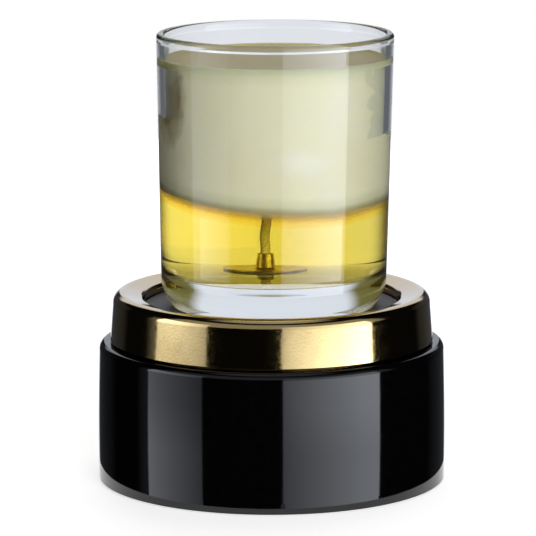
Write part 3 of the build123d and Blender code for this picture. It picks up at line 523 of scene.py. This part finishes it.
def makeHousing():
    h = housing
    _, foot, shoulder = spanOf("ceramic_housing")
    inner = h["radius"] - h["wall"]
    rebate = inner + h["rebateWidth"]
    ledge = shoulder - h["shoulderDrop"]
    outline = softened([
        (rebate, foot),
        (h["radius"] + h["footSwell"], foot, h["footRounding"]),
        (h["radius"] + h["bulge"], h["bulgeHeight"], h["bulgeRounding"]),
        (h["radius"], ledge, h["shoulderRounding"]),
        (h["openingRadius"], ledge),
        (h["openingRadius"], shoulder - h["ceiling"]),
        (inner, shoulder - h["ceiling"], h["ceilingRounding"]),
        (inner, foot + h["rebateDepth"]),
        (rebate, foot + h["rebateDepth"]),
    ], closed=True)
    piece = turned("housingShell", outline, closed=True, segments=256)
    low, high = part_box("switch_housing")
    switchZ = (low.z + high.z) / 2 / mm
    low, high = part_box("cord_grommet")
    glandZ, glandY = (low.z + high.z) / 2 / mm, high.y / mm
    panelY = h["radius"] - h["panelDepth"]
    deep = h["cutDepth"]
    cutAway(piece, [
        boxCutter((0, panelY + deep / 2, switchZ), (h["pocket"][0], deep, h["pocket"][1])),
        boxCutter((0, panelY, switchZ), (h["switchHole"][0], deep, h["switchHole"][1])),
        roundCutter(0, glandZ, h["glandFlange"], glandY - h["glandFlangeDepth"], glandY + deep),
        roundCutter(0, glandZ, h["glandBore"], glandY - deep, glandY + deep),
    ])
    smoothTurnedFaces(piece, outline)
    standsFor(piece, "ceramic_housing", "warmer", blackGlaze())


# The collar: crowned top that falls to the well, outer wall that widens evenly down to its foot

collar = {
    "radius": 59.5, "footRadius": 60.9, "footRounding": 0.4, "footDrop": 1.55, "rimRounding": 3.8,
    "topSlope": 14.0, "wellRadius": 48.1, "wellRimRounding": 2.0, "wellCove": 0.5,
    "lipRadius": 46.0, "lipDrop": 0.7, "lipRounding": 0.25,
    "seatDrop": 2.0, "seatRadius": 42.2, "seatThickness": 3.0,
    "wall": 4.3, "floor": 3.0, "spigotRadius": 54.8, "spigotWall": 3.2, "spigotDepth": 4.0,
}


def makeCollar():
    c = collar
    _, low, crest = spanOf("gold_collar")
    plateZ = spanOf("hot_plate")[2]
    foot = low + c["spigotDepth"] - c["footDrop"]
    floorZ = low + c["spigotDepth"] + c["floor"]
    slope = radians(c["topSlope"])
    rimZ = crest - c["rimRounding"] + c["rimRounding"] * (1 + sin(slope)) / cos(slope)
    wellZ = rimZ - (c["radius"] - c["wellRadius"]) * tan(slope)
    seatZ = plateZ - c["seatDrop"]
    outline = softened([
        (c["spigotRadius"] - c["spigotWall"], low),
        (c["spigotRadius"], low),
        (c["spigotRadius"], foot),
        (c["footRadius"], foot, c["footRounding"]),
        (c["radius"], rimZ, c["rimRounding"]),
        (c["wellRadius"], wellZ, c["wellRimRounding"]),
        (c["wellRadius"], plateZ - c["lipDrop"], c["wellCove"]),
        (c["lipRadius"], plateZ - c["lipDrop"], c["lipRounding"]),
        (c["lipRadius"], seatZ),
        (c["seatRadius"], seatZ),
        (c["seatRadius"], seatZ - c["seatThickness"]),
        (c["radius"] - c["wall"], seatZ - c["seatThickness"]),
        (c["radius"] - c["wall"], floorZ),
        (c["spigotRadius"] - c["spigotWall"], floorZ),
    ], closed=True, arcStep=radians(5))
    piece = turned("collarRing", outline, closed=True, segments=256)
    standsFor(piece, "gold_collar", "warmer", goldLustre())


hotPlate = {"edge": 1.2, "edgeRounding": 0.3, "bossRadius": 41.7, "flangeRadius": 47.4, "flange": 0.6,
            "dish": 0.12, "dishInset": 4, "dishStart": 0.01, "dishRounding": 20.0}


def makeHotPlate():
    p = hotPlate
    radius, under, top = spanOf("hot_plate")
    outline = softened([
        (0, under),
        (p["bossRadius"], under),
        (p["bossRadius"], top - p["edge"]),
        (radius, top - p["edge"]),
        (radius, top - p["flange"]),
        (p["flangeRadius"], top - p["flange"]),
        (p["flangeRadius"], top, p["edgeRounding"]),
        (radius - p["dishInset"], top - p["dishStart"], p["dishRounding"]),
        (0, top - p["dish"]),
    ])
    piece = turned("plateDisc", outline, segments=192)
    standsFor(piece, "hot_plate", "warmer", nonStickCoat())


# The candle: tumbler, solid wax over melted wax, wick and tab

candle = {
    "wall": 2.9, "base": 14.0, "heelIn": 4.2, "heelRise": 6.2, "heelRounding": 15.0,
    "footRounding": 1.0, "rimRounding": 1.5, "floorRounding": 2.5,
    "contactRadius": 30.0, "hollow": 1.3, "footRadius": 42.3, "waxBelowRim": 8.4,
    "floorRise": 1.6, "floorFall": 2.0, "domeRadius": 19.0, "domeRounding": 190.0,
    "meltHeight": 28.0, "meltFallRight": 2.1, "meltFallFront": 4.3, "glassBite": 0.06,
    "nudge": 0.15, "lean": 0.0071, "rimBead": 0.2, "rimBeadHeight": 2.5, "rimBeadFade": 0.8,
    "beadRounding": 0.6,
}
jarLow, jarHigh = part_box("jar")
candle["x"] = (jarLow.x + jarHigh.x) / 2 / mm + candle["nudge"]
candle["low"], candle["top"] = jarLow.z / mm, jarHigh.z / mm
candle["mouthRadius"] = (jarHigh.x - jarLow.x) / 2 / mm
candle["floor"] = candle["low"] + candle["base"] + candle["floorRise"]
candle["floorEdge"] = candle["low"] + candle["base"] - candle["floorFall"]
candle["waxTop"] = candle["top"] - candle["waxBelowRim"]
candle["melt"] = candle["low"] + candle["base"] + candle["meltHeight"]


def leaned(piece):
    # the candle stands a fraction of a degree out of plumb
    for vertex in piece.data.vertices:
        vertex.co.x += candle["lean"] * (vertex.co.z - candle["low"] * mm)
    return piece


def innerRadius(z):
    share = (z - candle["low"]) / (candle["top"] - candle["low"])
    return candle["footRadius"] + (candle["mouthRadius"] - candle["footRadius"]) * share - candle["wall"]


def meltLineAt(x, y):
    # height of the tilted melt line, x and y from the jar's axis
    fall = (candle["meltFallRight"] * x - candle["meltFallFront"] * y) / candle["footRadius"]
    return candle["melt"] - fall


def floorCorners():
    # the glass floor domes up in the middle
    c = candle
    return [(innerRadius(c["floorEdge"]), c["floorEdge"], c["floorRounding"]),
            (c["domeRadius"], c["floor"], c["domeRounding"]),
            (0, c["floor"])]


def makeJar():
    c = candle
    lipRadius = c["mouthRadius"] - c["wall"] - c["rimBead"]
    beadEnd = c["top"] - c["rimBeadHeight"] - c["rimBeadFade"]
    heelTop = c["low"] + c["heelRise"]
    outline = softened([
        (0, c["low"] + c["hollow"]),
        (c["contactRadius"], c["low"], c["hollow"]),
        (c["footRadius"] - c["heelIn"], c["low"], c["footRounding"]),
        (innerRadius(heelTop) + c["wall"], heelTop, c["heelRounding"]),
        (c["mouthRadius"], c["top"], c["rimRounding"]),
        (lipRadius, c["top"], c["rimRounding"]),
        (lipRadius, c["top"] - c["rimBeadHeight"], c["beadRounding"]),
        (innerRadius(beadEnd), beadEnd, c["beadRounding"]),
    ] + floorCorners(), arcStep=radians(4))
    piece = turned("tumbler", outline, segments=256, centre=(c["x"], 0))
    standsFor(leaned(piece), "jar", "candle", clearMaterial("tumblerGlass"))


wax = {
    "edgeDrop": 0.35, "edgeBand": 0.1, "edgeInset": 0.12, "meniscus": 0.8, "meniscusWidth": 3.0,
    "meniscusRings": 6, "topShares": (0.85, 0.7, 0.5, 0.3, 0.15), "swell": 0.25, "swellWidth": 18.0,
    # over the melt the wax is hollow: a flat ceiling, a quarter round and a thin skirt along the glass
    "skirt": 2.2, "skirtWidth": 5.0, "skirtInset": 0.4, "ceiling": 3.4, "ceilingShare": 0.5,
    "coveStart": 1.6, "coveRings": 8, "rings": 56, "segments": 256,
    # where the wax has shrunk off the glass, in degrees from the front and mm of height
    "gapWidth": 0.22, "gapRaggedness": 9.0, "gapGrain": (7, 4),
    "gaps": [dict(turn=(-128, -56), height=(139.5, 157.5)), dict(turn=(56, 128), height=(133.0, 158.0))],
}


def gapAt(turn, z):
    # how far the wax stands off the glass
    grainTurn, grainHeight = wax["gapGrain"]
    ragged = noise.noise(Vector((turn / grainTurn, z / grainHeight, 0)))
    for gap in wax["gaps"]:
        aside = min(turn - gap["turn"][0], gap["turn"][1] - turn) + wax["gapRaggedness"] * ragged
        within = min(z - gap["height"][0], gap["height"][1] - z)
        if aside > 0 and within > 0:
            return wax["gapWidth"]
    return 0.0


def ringedBody(name, rows, bite, gap=None):
    # closed body from rows of (radius, height as a function of x and y); the first and last rows are
    # points, and a row without a radius follows the glass, sunk into it by the bite
    segments = wax["segments"]
    verts, rings = [], []
    for radius, heightAt in rows:
        if radius == 0:
            rings.append([len(verts)])
            verts.append((candle["x"], 0, heightAt(0, 0)))
            continue
        rings.append(range(len(verts), len(verts) + segments))
        for k in range(segments):
            a = 2 * pi * k / segments
            r = radius or innerRadius(candle["melt"])
            z = heightAt(r * cos(a), r * sin(a))
            if radius is None:
                off = gap(degrees(atan2(cos(a), -sin(a))), z) if gap else 0.0
                r = innerRadius(z) + (bite if off == 0 else -off)
            verts.append((candle["x"] + r * cos(a), r * sin(a), z))
    return addMesh(name, verts, facesBetween(rings))


def waxRows():
    w, c = wax, candle
    ceiling = lambda x, y: meltLineAt(x, y) + w["ceiling"]
    skirt = lambda x, y: meltLineAt(x, y) - w["skirt"]
    wallRadius = innerRadius(c["melt"]) + c["glassBite"]
    rows = [(0, ceiling), (wallRadius * w["ceilingShare"], ceiling),
            (wallRadius - w["skirtWidth"] * w["coveStart"], ceiling)]
    for k in range(1, w["coveRings"] + 1):
        a = pi / 2 * k / w["coveRings"]
        drop = (1 - cos(a)) * (w["ceiling"] + w["skirt"])
        rows.append((wallRadius - w["skirtWidth"] * (1 - sin(a)) - w["skirtInset"],
                     lambda x, y, drop=drop: meltLineAt(x, y) + w["ceiling"] - drop))
    edge = c["waxTop"] - w["edgeDrop"]
    for k in range(w["rings"]):
        share = k / w["rings"]
        rows.append((None, lambda x, y, s=share: skirt(x, y) * (1 - s) + edge * s))
    topRadius = innerRadius(edge) + c["glassBite"]
    rows += [(None, lambda x, y: edge - w["edgeBand"]), (None, lambda x, y: edge),
             (topRadius - w["edgeInset"], lambda x, y: edge)]
    for k in range(1, w["meniscusRings"] + 1):
        inward = w["meniscusWidth"] * k / w["meniscusRings"]
        drop = w["meniscus"] * (1 - (1 - k / w["meniscusRings"]) ** 2)
        rows.append((topRadius - inward, lambda x, y, drop=drop: edge - drop))
    for share in w["topShares"]:
        rows.append((topRadius * share, waxTopAt))
    rows.append((0, waxTopAt))
    return rows


def waxTopAt(x, y):
    # the poured top sets a little uneven
    swell = noise.noise(Vector((x, y, 0)) / wax["swellWidth"])
    return candle["waxTop"] - wax["edgeDrop"] - wax["meniscus"] + wax["swell"] * swell


def makeSolidWax():
    piece = ringedBody("solidWaxBody", waxRows(), candle["glassBite"], gapAt)
    fall = Vector((candle["meltFallRight"] / candle["footRadius"],
                   -candle["meltFallFront"] / candle["footRadius"], 1)).normalized()
    material = solidWax(tuple(fall), (candle["x"], 0, candle["melt"]))
    standsFor(leaned(piece), "solid_wax", "candle", material)


melt = {"overlap": 0.5, "wallRings": 12, "lidInset": 0.5, "lidShare": 0.5}


def makeMelt():
    # fills the glass from its domed floor to above the wax's hollow underside
    c = candle
    bite = c["glassBite"] / 2
    floorLine = softened([(innerRadius(c["melt"]), c["melt"])] + floorCorners(), arcStep=radians(5))
    rows = [(point.x, lambda x, y, z=point.y: z - bite) for point, _ in reversed(floorLine[1:])]
    lid = lambda x, y: meltLineAt(x, y) + wax["ceiling"] + melt["overlap"]
    start = c["floorEdge"] + c["floorRounding"]
    for k in range(1, melt["wallRings"] + 1):
        rows.append((None, lambda x, y, s=k / melt["wallRings"]: start * (1 - s) + lid(x, y) * s))
    top = innerRadius(c["melt"]) + bite
    rows += [(top - melt["lidInset"], lid), (top * melt["lidShare"], lid), (0, lid)]
    piece = ringedBody("meltBody", rows, bite)
    standsFor(leaned(piece), "melted_wax", "candle", clearMaterial("meltedWax"))


wick = {"strands": 5, "strandRadius": 0.62, "layRadius": 0.72, "pitch": 7.0, "steps": 160,
        "footRise": 0.6, "belowTop": 2.0, "bendHeight": 12.0, "lean": 1.2, "offset": -2.2,
        "sway": 0.25, "swayLength": 15.0, "swayEase": 6}
wick["foot"] = candle["floor"] + wick["footRise"]
wick["top"] = candle["waxTop"] - wick["belowTop"]
tab = {"gap": 0.02, "radius": 11.0, "thickness": 0.5, "neckRadius": 2.1, "neckFoot": 2.6, "neckHeight": 6.2,
       "neckRounding": 0.5, "neckRim": 0.25, "bore": 1.5, "boreRim": 0.2}


def wickPathAt(z):
    # straight out of the tab, then an easy S that leans to the right
    bend = candle["floor"] + tab["neckHeight"] + wick["bendHeight"]
    share = max(0.0, (z - bend) / (wick["top"] - bend))
    ease = min(1, max(0, z - wick["foot"] - tab["neckHeight"]) / wick["swayEase"])
    sway = wick["sway"] * sin(2 * pi * (z - wick["foot"]) / wick["swayLength"]) * ease
    return candle["x"] + wick["offset"] + wick["lean"] * share + sway


def makeWick():
    foot, top, steps = wick["foot"], wick["top"], wick["steps"]
    curve = bpy.data.curves.new("wickBraid", "CURVE")
    curve.dimensions = "3D"
    curve.bevel_depth = wick["strandRadius"] * mm
    curve.bevel_resolution = 3
    for s in range(wick["strands"]):
        spline = curve.splines.new("POLY")
        spline.points.add(steps)
        for k in range(steps + 1):
            z = foot + (top - foot) * k / steps
            a = 2 * pi * (s / wick["strands"] + (z - foot) / wick["pitch"])
            x = wickPathAt(z) + wick["layRadius"] * cos(a)
            spline.points[k].co = (x * mm, wick["layRadius"] * sin(a) * mm, z * mm, 1)
    braid = addObject("wickCurve", curve)
    mesh = appliedMesh(braid)
    bpy.data.objects.remove(braid)
    piece = addObject("wickBraid", mesh)
    shadeSmooth(mesh)
    standsFor(leaned(piece), "wick", "candle", braidedCotton())


def makeTab():
    t = tab
    low = candle["floor"] + t["gap"]
    outline = softened([
        (0, low),
        (t["radius"], low, t["thickness"] / 3),
        (t["radius"], low + t["thickness"], t["thickness"] / 3),
        (t["neckFoot"], low + t["thickness"], t["neckRounding"]),
        (t["neckRadius"], low + t["neckHeight"], t["neckRim"]),
        (t["bore"], low + t["neckHeight"], t["boreRim"]),
        (t["bore"], low + t["thickness"]),
        (0, low + t["thickness"]),
    ])
    piece = turned("wickTab", outline, segments=96, centre=(candle["x"] + wick["offset"], 0))
    standsFor(leaned(piece), "wick_tab", "candle", pressedBrass())


# Everything else keeps its CAD mesh and gets the material of its slot

def dressFrame():
    slots = {row["node"]: row["material_slot"] for row in frame["record"]["subparts"]}
    for node, piece in frame["nodes"].items():
        if slots[node] in slotMaterials:
            dress(piece, slotMaterials[slots[node]])


makeHousing()
makeCollar()
makeHotPlate()
print("warmer made")
makeJar()
makeSolidWax()
makeMelt()
makeWick()
makeTab()
print("candle made")
dressFrame()


# Floor, light and camera

stage = {
    "floorRadius": 900.0, "mirroredRadius": 76.0, "floorColour": "#E0E0E0",
    "nearGlow": 0.70, "farGlow": 1.0, "fadeFrom": 100.0, "fadeTo": 300.0, "thickness": 1.0, "gap": 0.05,
}


def makeFloor():
    # pale table: nearly white to the eye, so that only the soft shadow shows, fading into the backdrop
    material, tree = newMaterial("paleTable")
    path = addNode(tree, "LightPath").outputs
    seen = addNode(tree, "Math", {"operation": "MAXIMUM", 0: path["Is Camera Ray"], 1: path["Is Glossy Ray"]})
    place = addNode(tree, "TexCoord").outputs["Object"]
    away = addNode(tree, "VectorMath", {"operation": "LENGTH", 0: place}).outputs["Value"]
    fade = addNode(tree, "MapRange", {0: away, 1: stage["fadeFrom"] * mm, 2: stage["fadeTo"] * mm,
                                      3: stage["nearGlow"], 4: stage["farGlow"]})
    glow = addNode(tree, "Math", {"operation": "MULTIPLY", 0: seen, 1: fade})
    light = addNode(tree, "Emission", {"Color": toLinear("#FFFFFF"), "Strength": glow})
    matte = addNode(tree, "BsdfDiffuse", {"Color": toLinear(stage["floorColour"])})
    both = addNode(tree, "AddShader", {0: light, 1: matte})
    addNode(tree, "OutputMaterial", {"Surface": both})
    under = -stage["thickness"]
    discs = (("floor", stage["floorRadius"], -stage["gap"]), ("nearFloor", stage["mirroredRadius"], 0.0))
    for name, radius, top in discs:
        outline = softened([(0, under), (radius, under), (radius, top), (0, top)])
        piece = turned(name, outline, segments=128)
        dress(piece, material)
        piece.visible_transmission = False
        piece.visible_glossy = name == "nearFloor"
        if name == "nearFloor":
            # only the table close by mirrors in the glaze; further off it lies in the dark
            piece.visible_camera = piece.visible_diffuse = piece.visible_shadow = False


lamps = {
    # soft boxes that light the matt surfaces; what mirrors sees the surround below
    "key": dict(azimuth=17, elevation=10, size=500, strength=13.1, colour="#F6F8FF"),
    "back": dict(azimuth=165, elevation=58, size=900, strength=1.8, colour="#FFFFFF"),
    "rear": dict(azimuth=196, elevation=12, size=500, strength=5.0, colour="#FBFBFF"),
}
lampPlace = {"aimHeight": 90, "distance": 1100}


def makeLamps():
    aim = Vector((0, 0, lampPlace["aimHeight"] * mm))
    for name, lamp in lamps.items():
        data = bpy.data.lights.new(name, "AREA")
        data.shape = "RECTANGLE"
        data.size = data.size_y = lamp["size"] * mm
        # strength is the lamp's brightness, where 1 is white, so power follows its area
        data.energy = lamp["strength"] * pi * data.size * data.size_y
        data.color = toLinear(lamp["colour"])[:3]
        a, e = radians(lamp["azimuth"]), radians(lamp["elevation"])
        away = Vector((sin(a) * cos(e), -cos(a) * cos(e), sin(e)))
        piece = addObject(name, data)
        piece.location = aim + away * lampPlace["distance"] * mm
        piece.rotation_mode = "QUATERNION"
        piece.rotation_quaternion = away.to_track_quat("Z", "Y")
        piece.visible_camera = piece.visible_glossy = piece.visible_transmission = False


surround = {
    # what mirrors: angles in degrees, turn from the front, plus to the right, and rise over the horizon;
    # glow runs from the first turn to the second, or to the level
    "mirrored": {
        "rightPanel": dict(turn=(7.3, 75.7), rise=(-60, 28), soft=(0.5, 3), glow=(0.98, 3.2), level=62,
                           climb=(0.93, 1.36, 0.5)),
        "leftPanel": dict(turn=(-89.4, -46.6), rise=(-60, 28), soft=(0.5, 3), glow=(1.2, 0.35),
                          climb=(1.7, 0.75, 3.1)),
        "leftReturn": dict(turn=(-101, -89.4), rise=(-60, 28), soft=(3, 3), glow=(0.0, 0.14)),
        "sideRight": dict(turn=(128, 166), rise=(-60, 20), soft=(6, 6), glow=(0.02, 0.07)),
        "sideLeft": dict(turn=(-166, -128), rise=(-60, 20), soft=(6, 6), glow=(0.05, 0.02)),
        "ceiling": dict(turn=(-88, 88), rise=(9, 52), soft=(4, 2.5), glow=(0.33, 0.33)),
        "zenith": dict(turn=(-400, 400), rise=(70, 400), soft=(1, 6), glow=(0.4, 0.4)),
    },
    # the same on the left as on the right
    "bothSides": {
        "tableBehind": dict(turn=(167, 400), rise=(-60, 0), soft=(4, 8), glow=(0.95, 0.95)),
        "backdrop": dict(turn=(171, 400), rise=(-6, 68), soft=(1.2, 1), glow=(0.82, 0.82)),
        "overhead": dict(turn=(157, 400), rise=(15, 68), soft=(3, 3), glow=(0.82, 0.82)),
    },
    # climb: a panel's light goes from its first factor to its second over climbRise, and is multiplied
    # by its third above crownRise
    "climbRise": (-12.5, -7.5), "crownRise": (-5.5, -2.5), "colour": "#F0F5FF", "dark": 0.003,
    # what shows through the glass, turned from straight behind, and to either side of that
    "through": {
        "glass": dict(turn=(-34, 34), soft=6, behind=(1.05, "#E6EAF1"), beside=(0.26, "#DCD67C")),
        "table": dict(turn=(-15, 15), soft=2, behind=(0.98, "#E6EAF1"), beside=(0.2, "#DDE4EC")),
        "melt": dict(turn=(-55, 61), soft=14, behind=(1.02, "#FFFFFF"), beside=(0.26, "#DCD67C")),
    },
    "tableBelow": -5, "meltDepth": 4.5, "frontFrom": 0.1,
    # what lights matt surfaces from all round
    "ambient": (0.045, "#FFF0C4"),
}


def softBand(tree, angle, low, high, soft):
    # 1 between two angles, falling to 0 over a soft edge at each
    edges = [addNode(tree, "MapRange", {"interpolation_type": "SMOOTHSTEP", 0: angle,
                                        1: radians(at - soft), 2: radians(at + soft)}) for at in (low, high)]
    return addNode(tree, "Math", {"operation": "SUBTRACT", 0: edges[0], 1: edges[1]})


def lit(glow, hexColour):
    return [c * glow for c in toLinear(hexColour)[:3]] + [1.0]


def makeSurround():
    # white behind the object, a tall panel to each side of its front with a dark gap between them,
    # dim ceiling
    world = bpy.data.worlds.new("studio")
    world.use_nodes = True
    bpy.context.scene.world = world
    tree = world.node_tree
    tree.nodes.clear()
    path = addNode(tree, "LightPath").outputs
    way = addNode(tree, "SeparateXYZ", {0: addNode(tree, "TexCoord").outputs["Generated"]}).outputs
    ahead = addNode(tree, "Math", {"operation": "MULTIPLY", 0: way["Y"], 1: -1.0})
    turn = addNode(tree, "Math", {"operation": "ARCTAN2", 0: way["X"], 1: ahead})
    turnBehind = addNode(tree, "Math", {"operation": "ARCTAN2", 0: way["X"], 1: way["Y"]})
    rise = addNode(tree, "Math", {"operation": "ARCSINE", 0: way["Z"]})
    areas = list(surround["mirrored"].values())
    for area in surround["bothSides"].values():
        start, end = area["turn"]
        areas += [area, {**area, "turn": (-end, -start)}]
    light = surround["dark"]
    for panel in areas:
        across = softBand(tree, turn, *panel["turn"], panel["soft"][0])
        upright = softBand(tree, rise, *panel["rise"], panel["soft"][1])
        shape = addNode(tree, "Math", {"operation": "MULTIPLY", 0: across, 1: upright})
        level = panel.get("level", panel["turn"][1])
        glow = addNode(tree, "MapRange", {0: turn, 1: radians(panel["turn"][0]), 2: radians(level),
                                          3: panel["glow"][0], 4: panel["glow"][1]})
        part = addNode(tree, "Math", {"operation": "MULTIPLY", 0: shape, 1: glow})
        low, high, top = panel.get("climb", (1.0, 1.0, 1.0))
        for reach, first, last in (("climbRise", low, high), ("crownRise", 1.0, top)):
            start, end = surround[reach]
            climb = addNode(tree, "MapRange", {0: rise, 1: radians(start), 2: radians(end),
                                               3: first, 4: last})
            part = addNode(tree, "Math", {"operation": "MULTIPLY", 0: part, 1: climb})
        light = addNode(tree, "Math", {"operation": "MAXIMUM", 0: light, 1: part})
    mirrored = addNode(tree, "VectorMath", {"operation": "SCALE", 0: toLinear(surround["colour"])[:3],
                                            "Scale": light})

    through = {}
    for view, look in surround["through"].items():
        band = softBand(tree, turnBehind, *look["turn"], look["soft"])
        through[view] = addNode(tree, "Mix", {**blend, 0: band, 6: lit(*look["beside"]),
                                              7: lit(*look["behind"])}).outputs[2]
    # through glass the table shows low down; a path that crosses the melt meets more surfaces
    isLow = addNode(tree, "Math", {"operation": "LESS_THAN", 0: rise, 1: radians(surround["tableBelow"])})
    isMelt = addNode(tree, "Math", {"operation": "GREATER_THAN", 0: path["Transmission Depth"],
                                    1: surround["meltDepth"]})
    back = addNode(tree, "Mix", {**blend, 0: isLow, 6: through["glass"], 7: through["table"]})
    back = addNode(tree, "Mix", {**blend, 0: isMelt, 6: back.outputs[2], 7: through["melt"]}).outputs[2]
    facing = addNode(tree, "Math", {"operation": "GREATER_THAN", 0: ahead, 1: surround["frontFrom"]})
    seen = addNode(tree, "Mix", {**blend, 0: facing, 6: back, 7: mirrored}).outputs[2]

    colour = lit(*surround["ambient"])
    white = toLinear("#FFFFFF")
    for kind, view in (("Is Glossy Ray", mirrored), ("Is Transmission Ray", seen), ("Is Camera Ray", white)):
        colour = addNode(tree, "Mix", {**blend, 0: path[kind], 6: colour, 7: view}).outputs[2]
    glow = addNode(tree, "Background", {"Color": colour})
    addNode(tree, "OutputWorld", {"Surface": glow})


camera = {"x": -1.3, "distance": 1377.0, "height": 80.09, "dip": 10.25, "roll": -0.1,
          "lens": 245.49, "sensor": 36.0, "clip": (0.05, 20)}


def makeCamera():
    data = bpy.data.cameras.new("camera")
    data.lens = camera["lens"]
    data.sensor_width = camera["sensor"]
    dip = radians(camera["dip"])
    piece = addObject("camera", data)
    piece.location = (camera["x"] * mm, -camera["distance"] * cos(dip) * mm,
                      (camera["height"] + camera["distance"] * sin(dip)) * mm)
    tilt = Euler((pi / 2 - dip, 0, 0)).to_matrix() @ Euler((0, 0, radians(camera["roll"]))).to_matrix()
    piece.rotation_euler = tilt.to_euler()
    data.clip_start, data.clip_end = camera["clip"]
    bpy.context.scene.camera = piece


makeFloor()
makeLamps()
makeSurround()
makeCamera()
bpy.context.scene.view_settings.view_transform = "Standard"
print("stage, lamps and camera set")
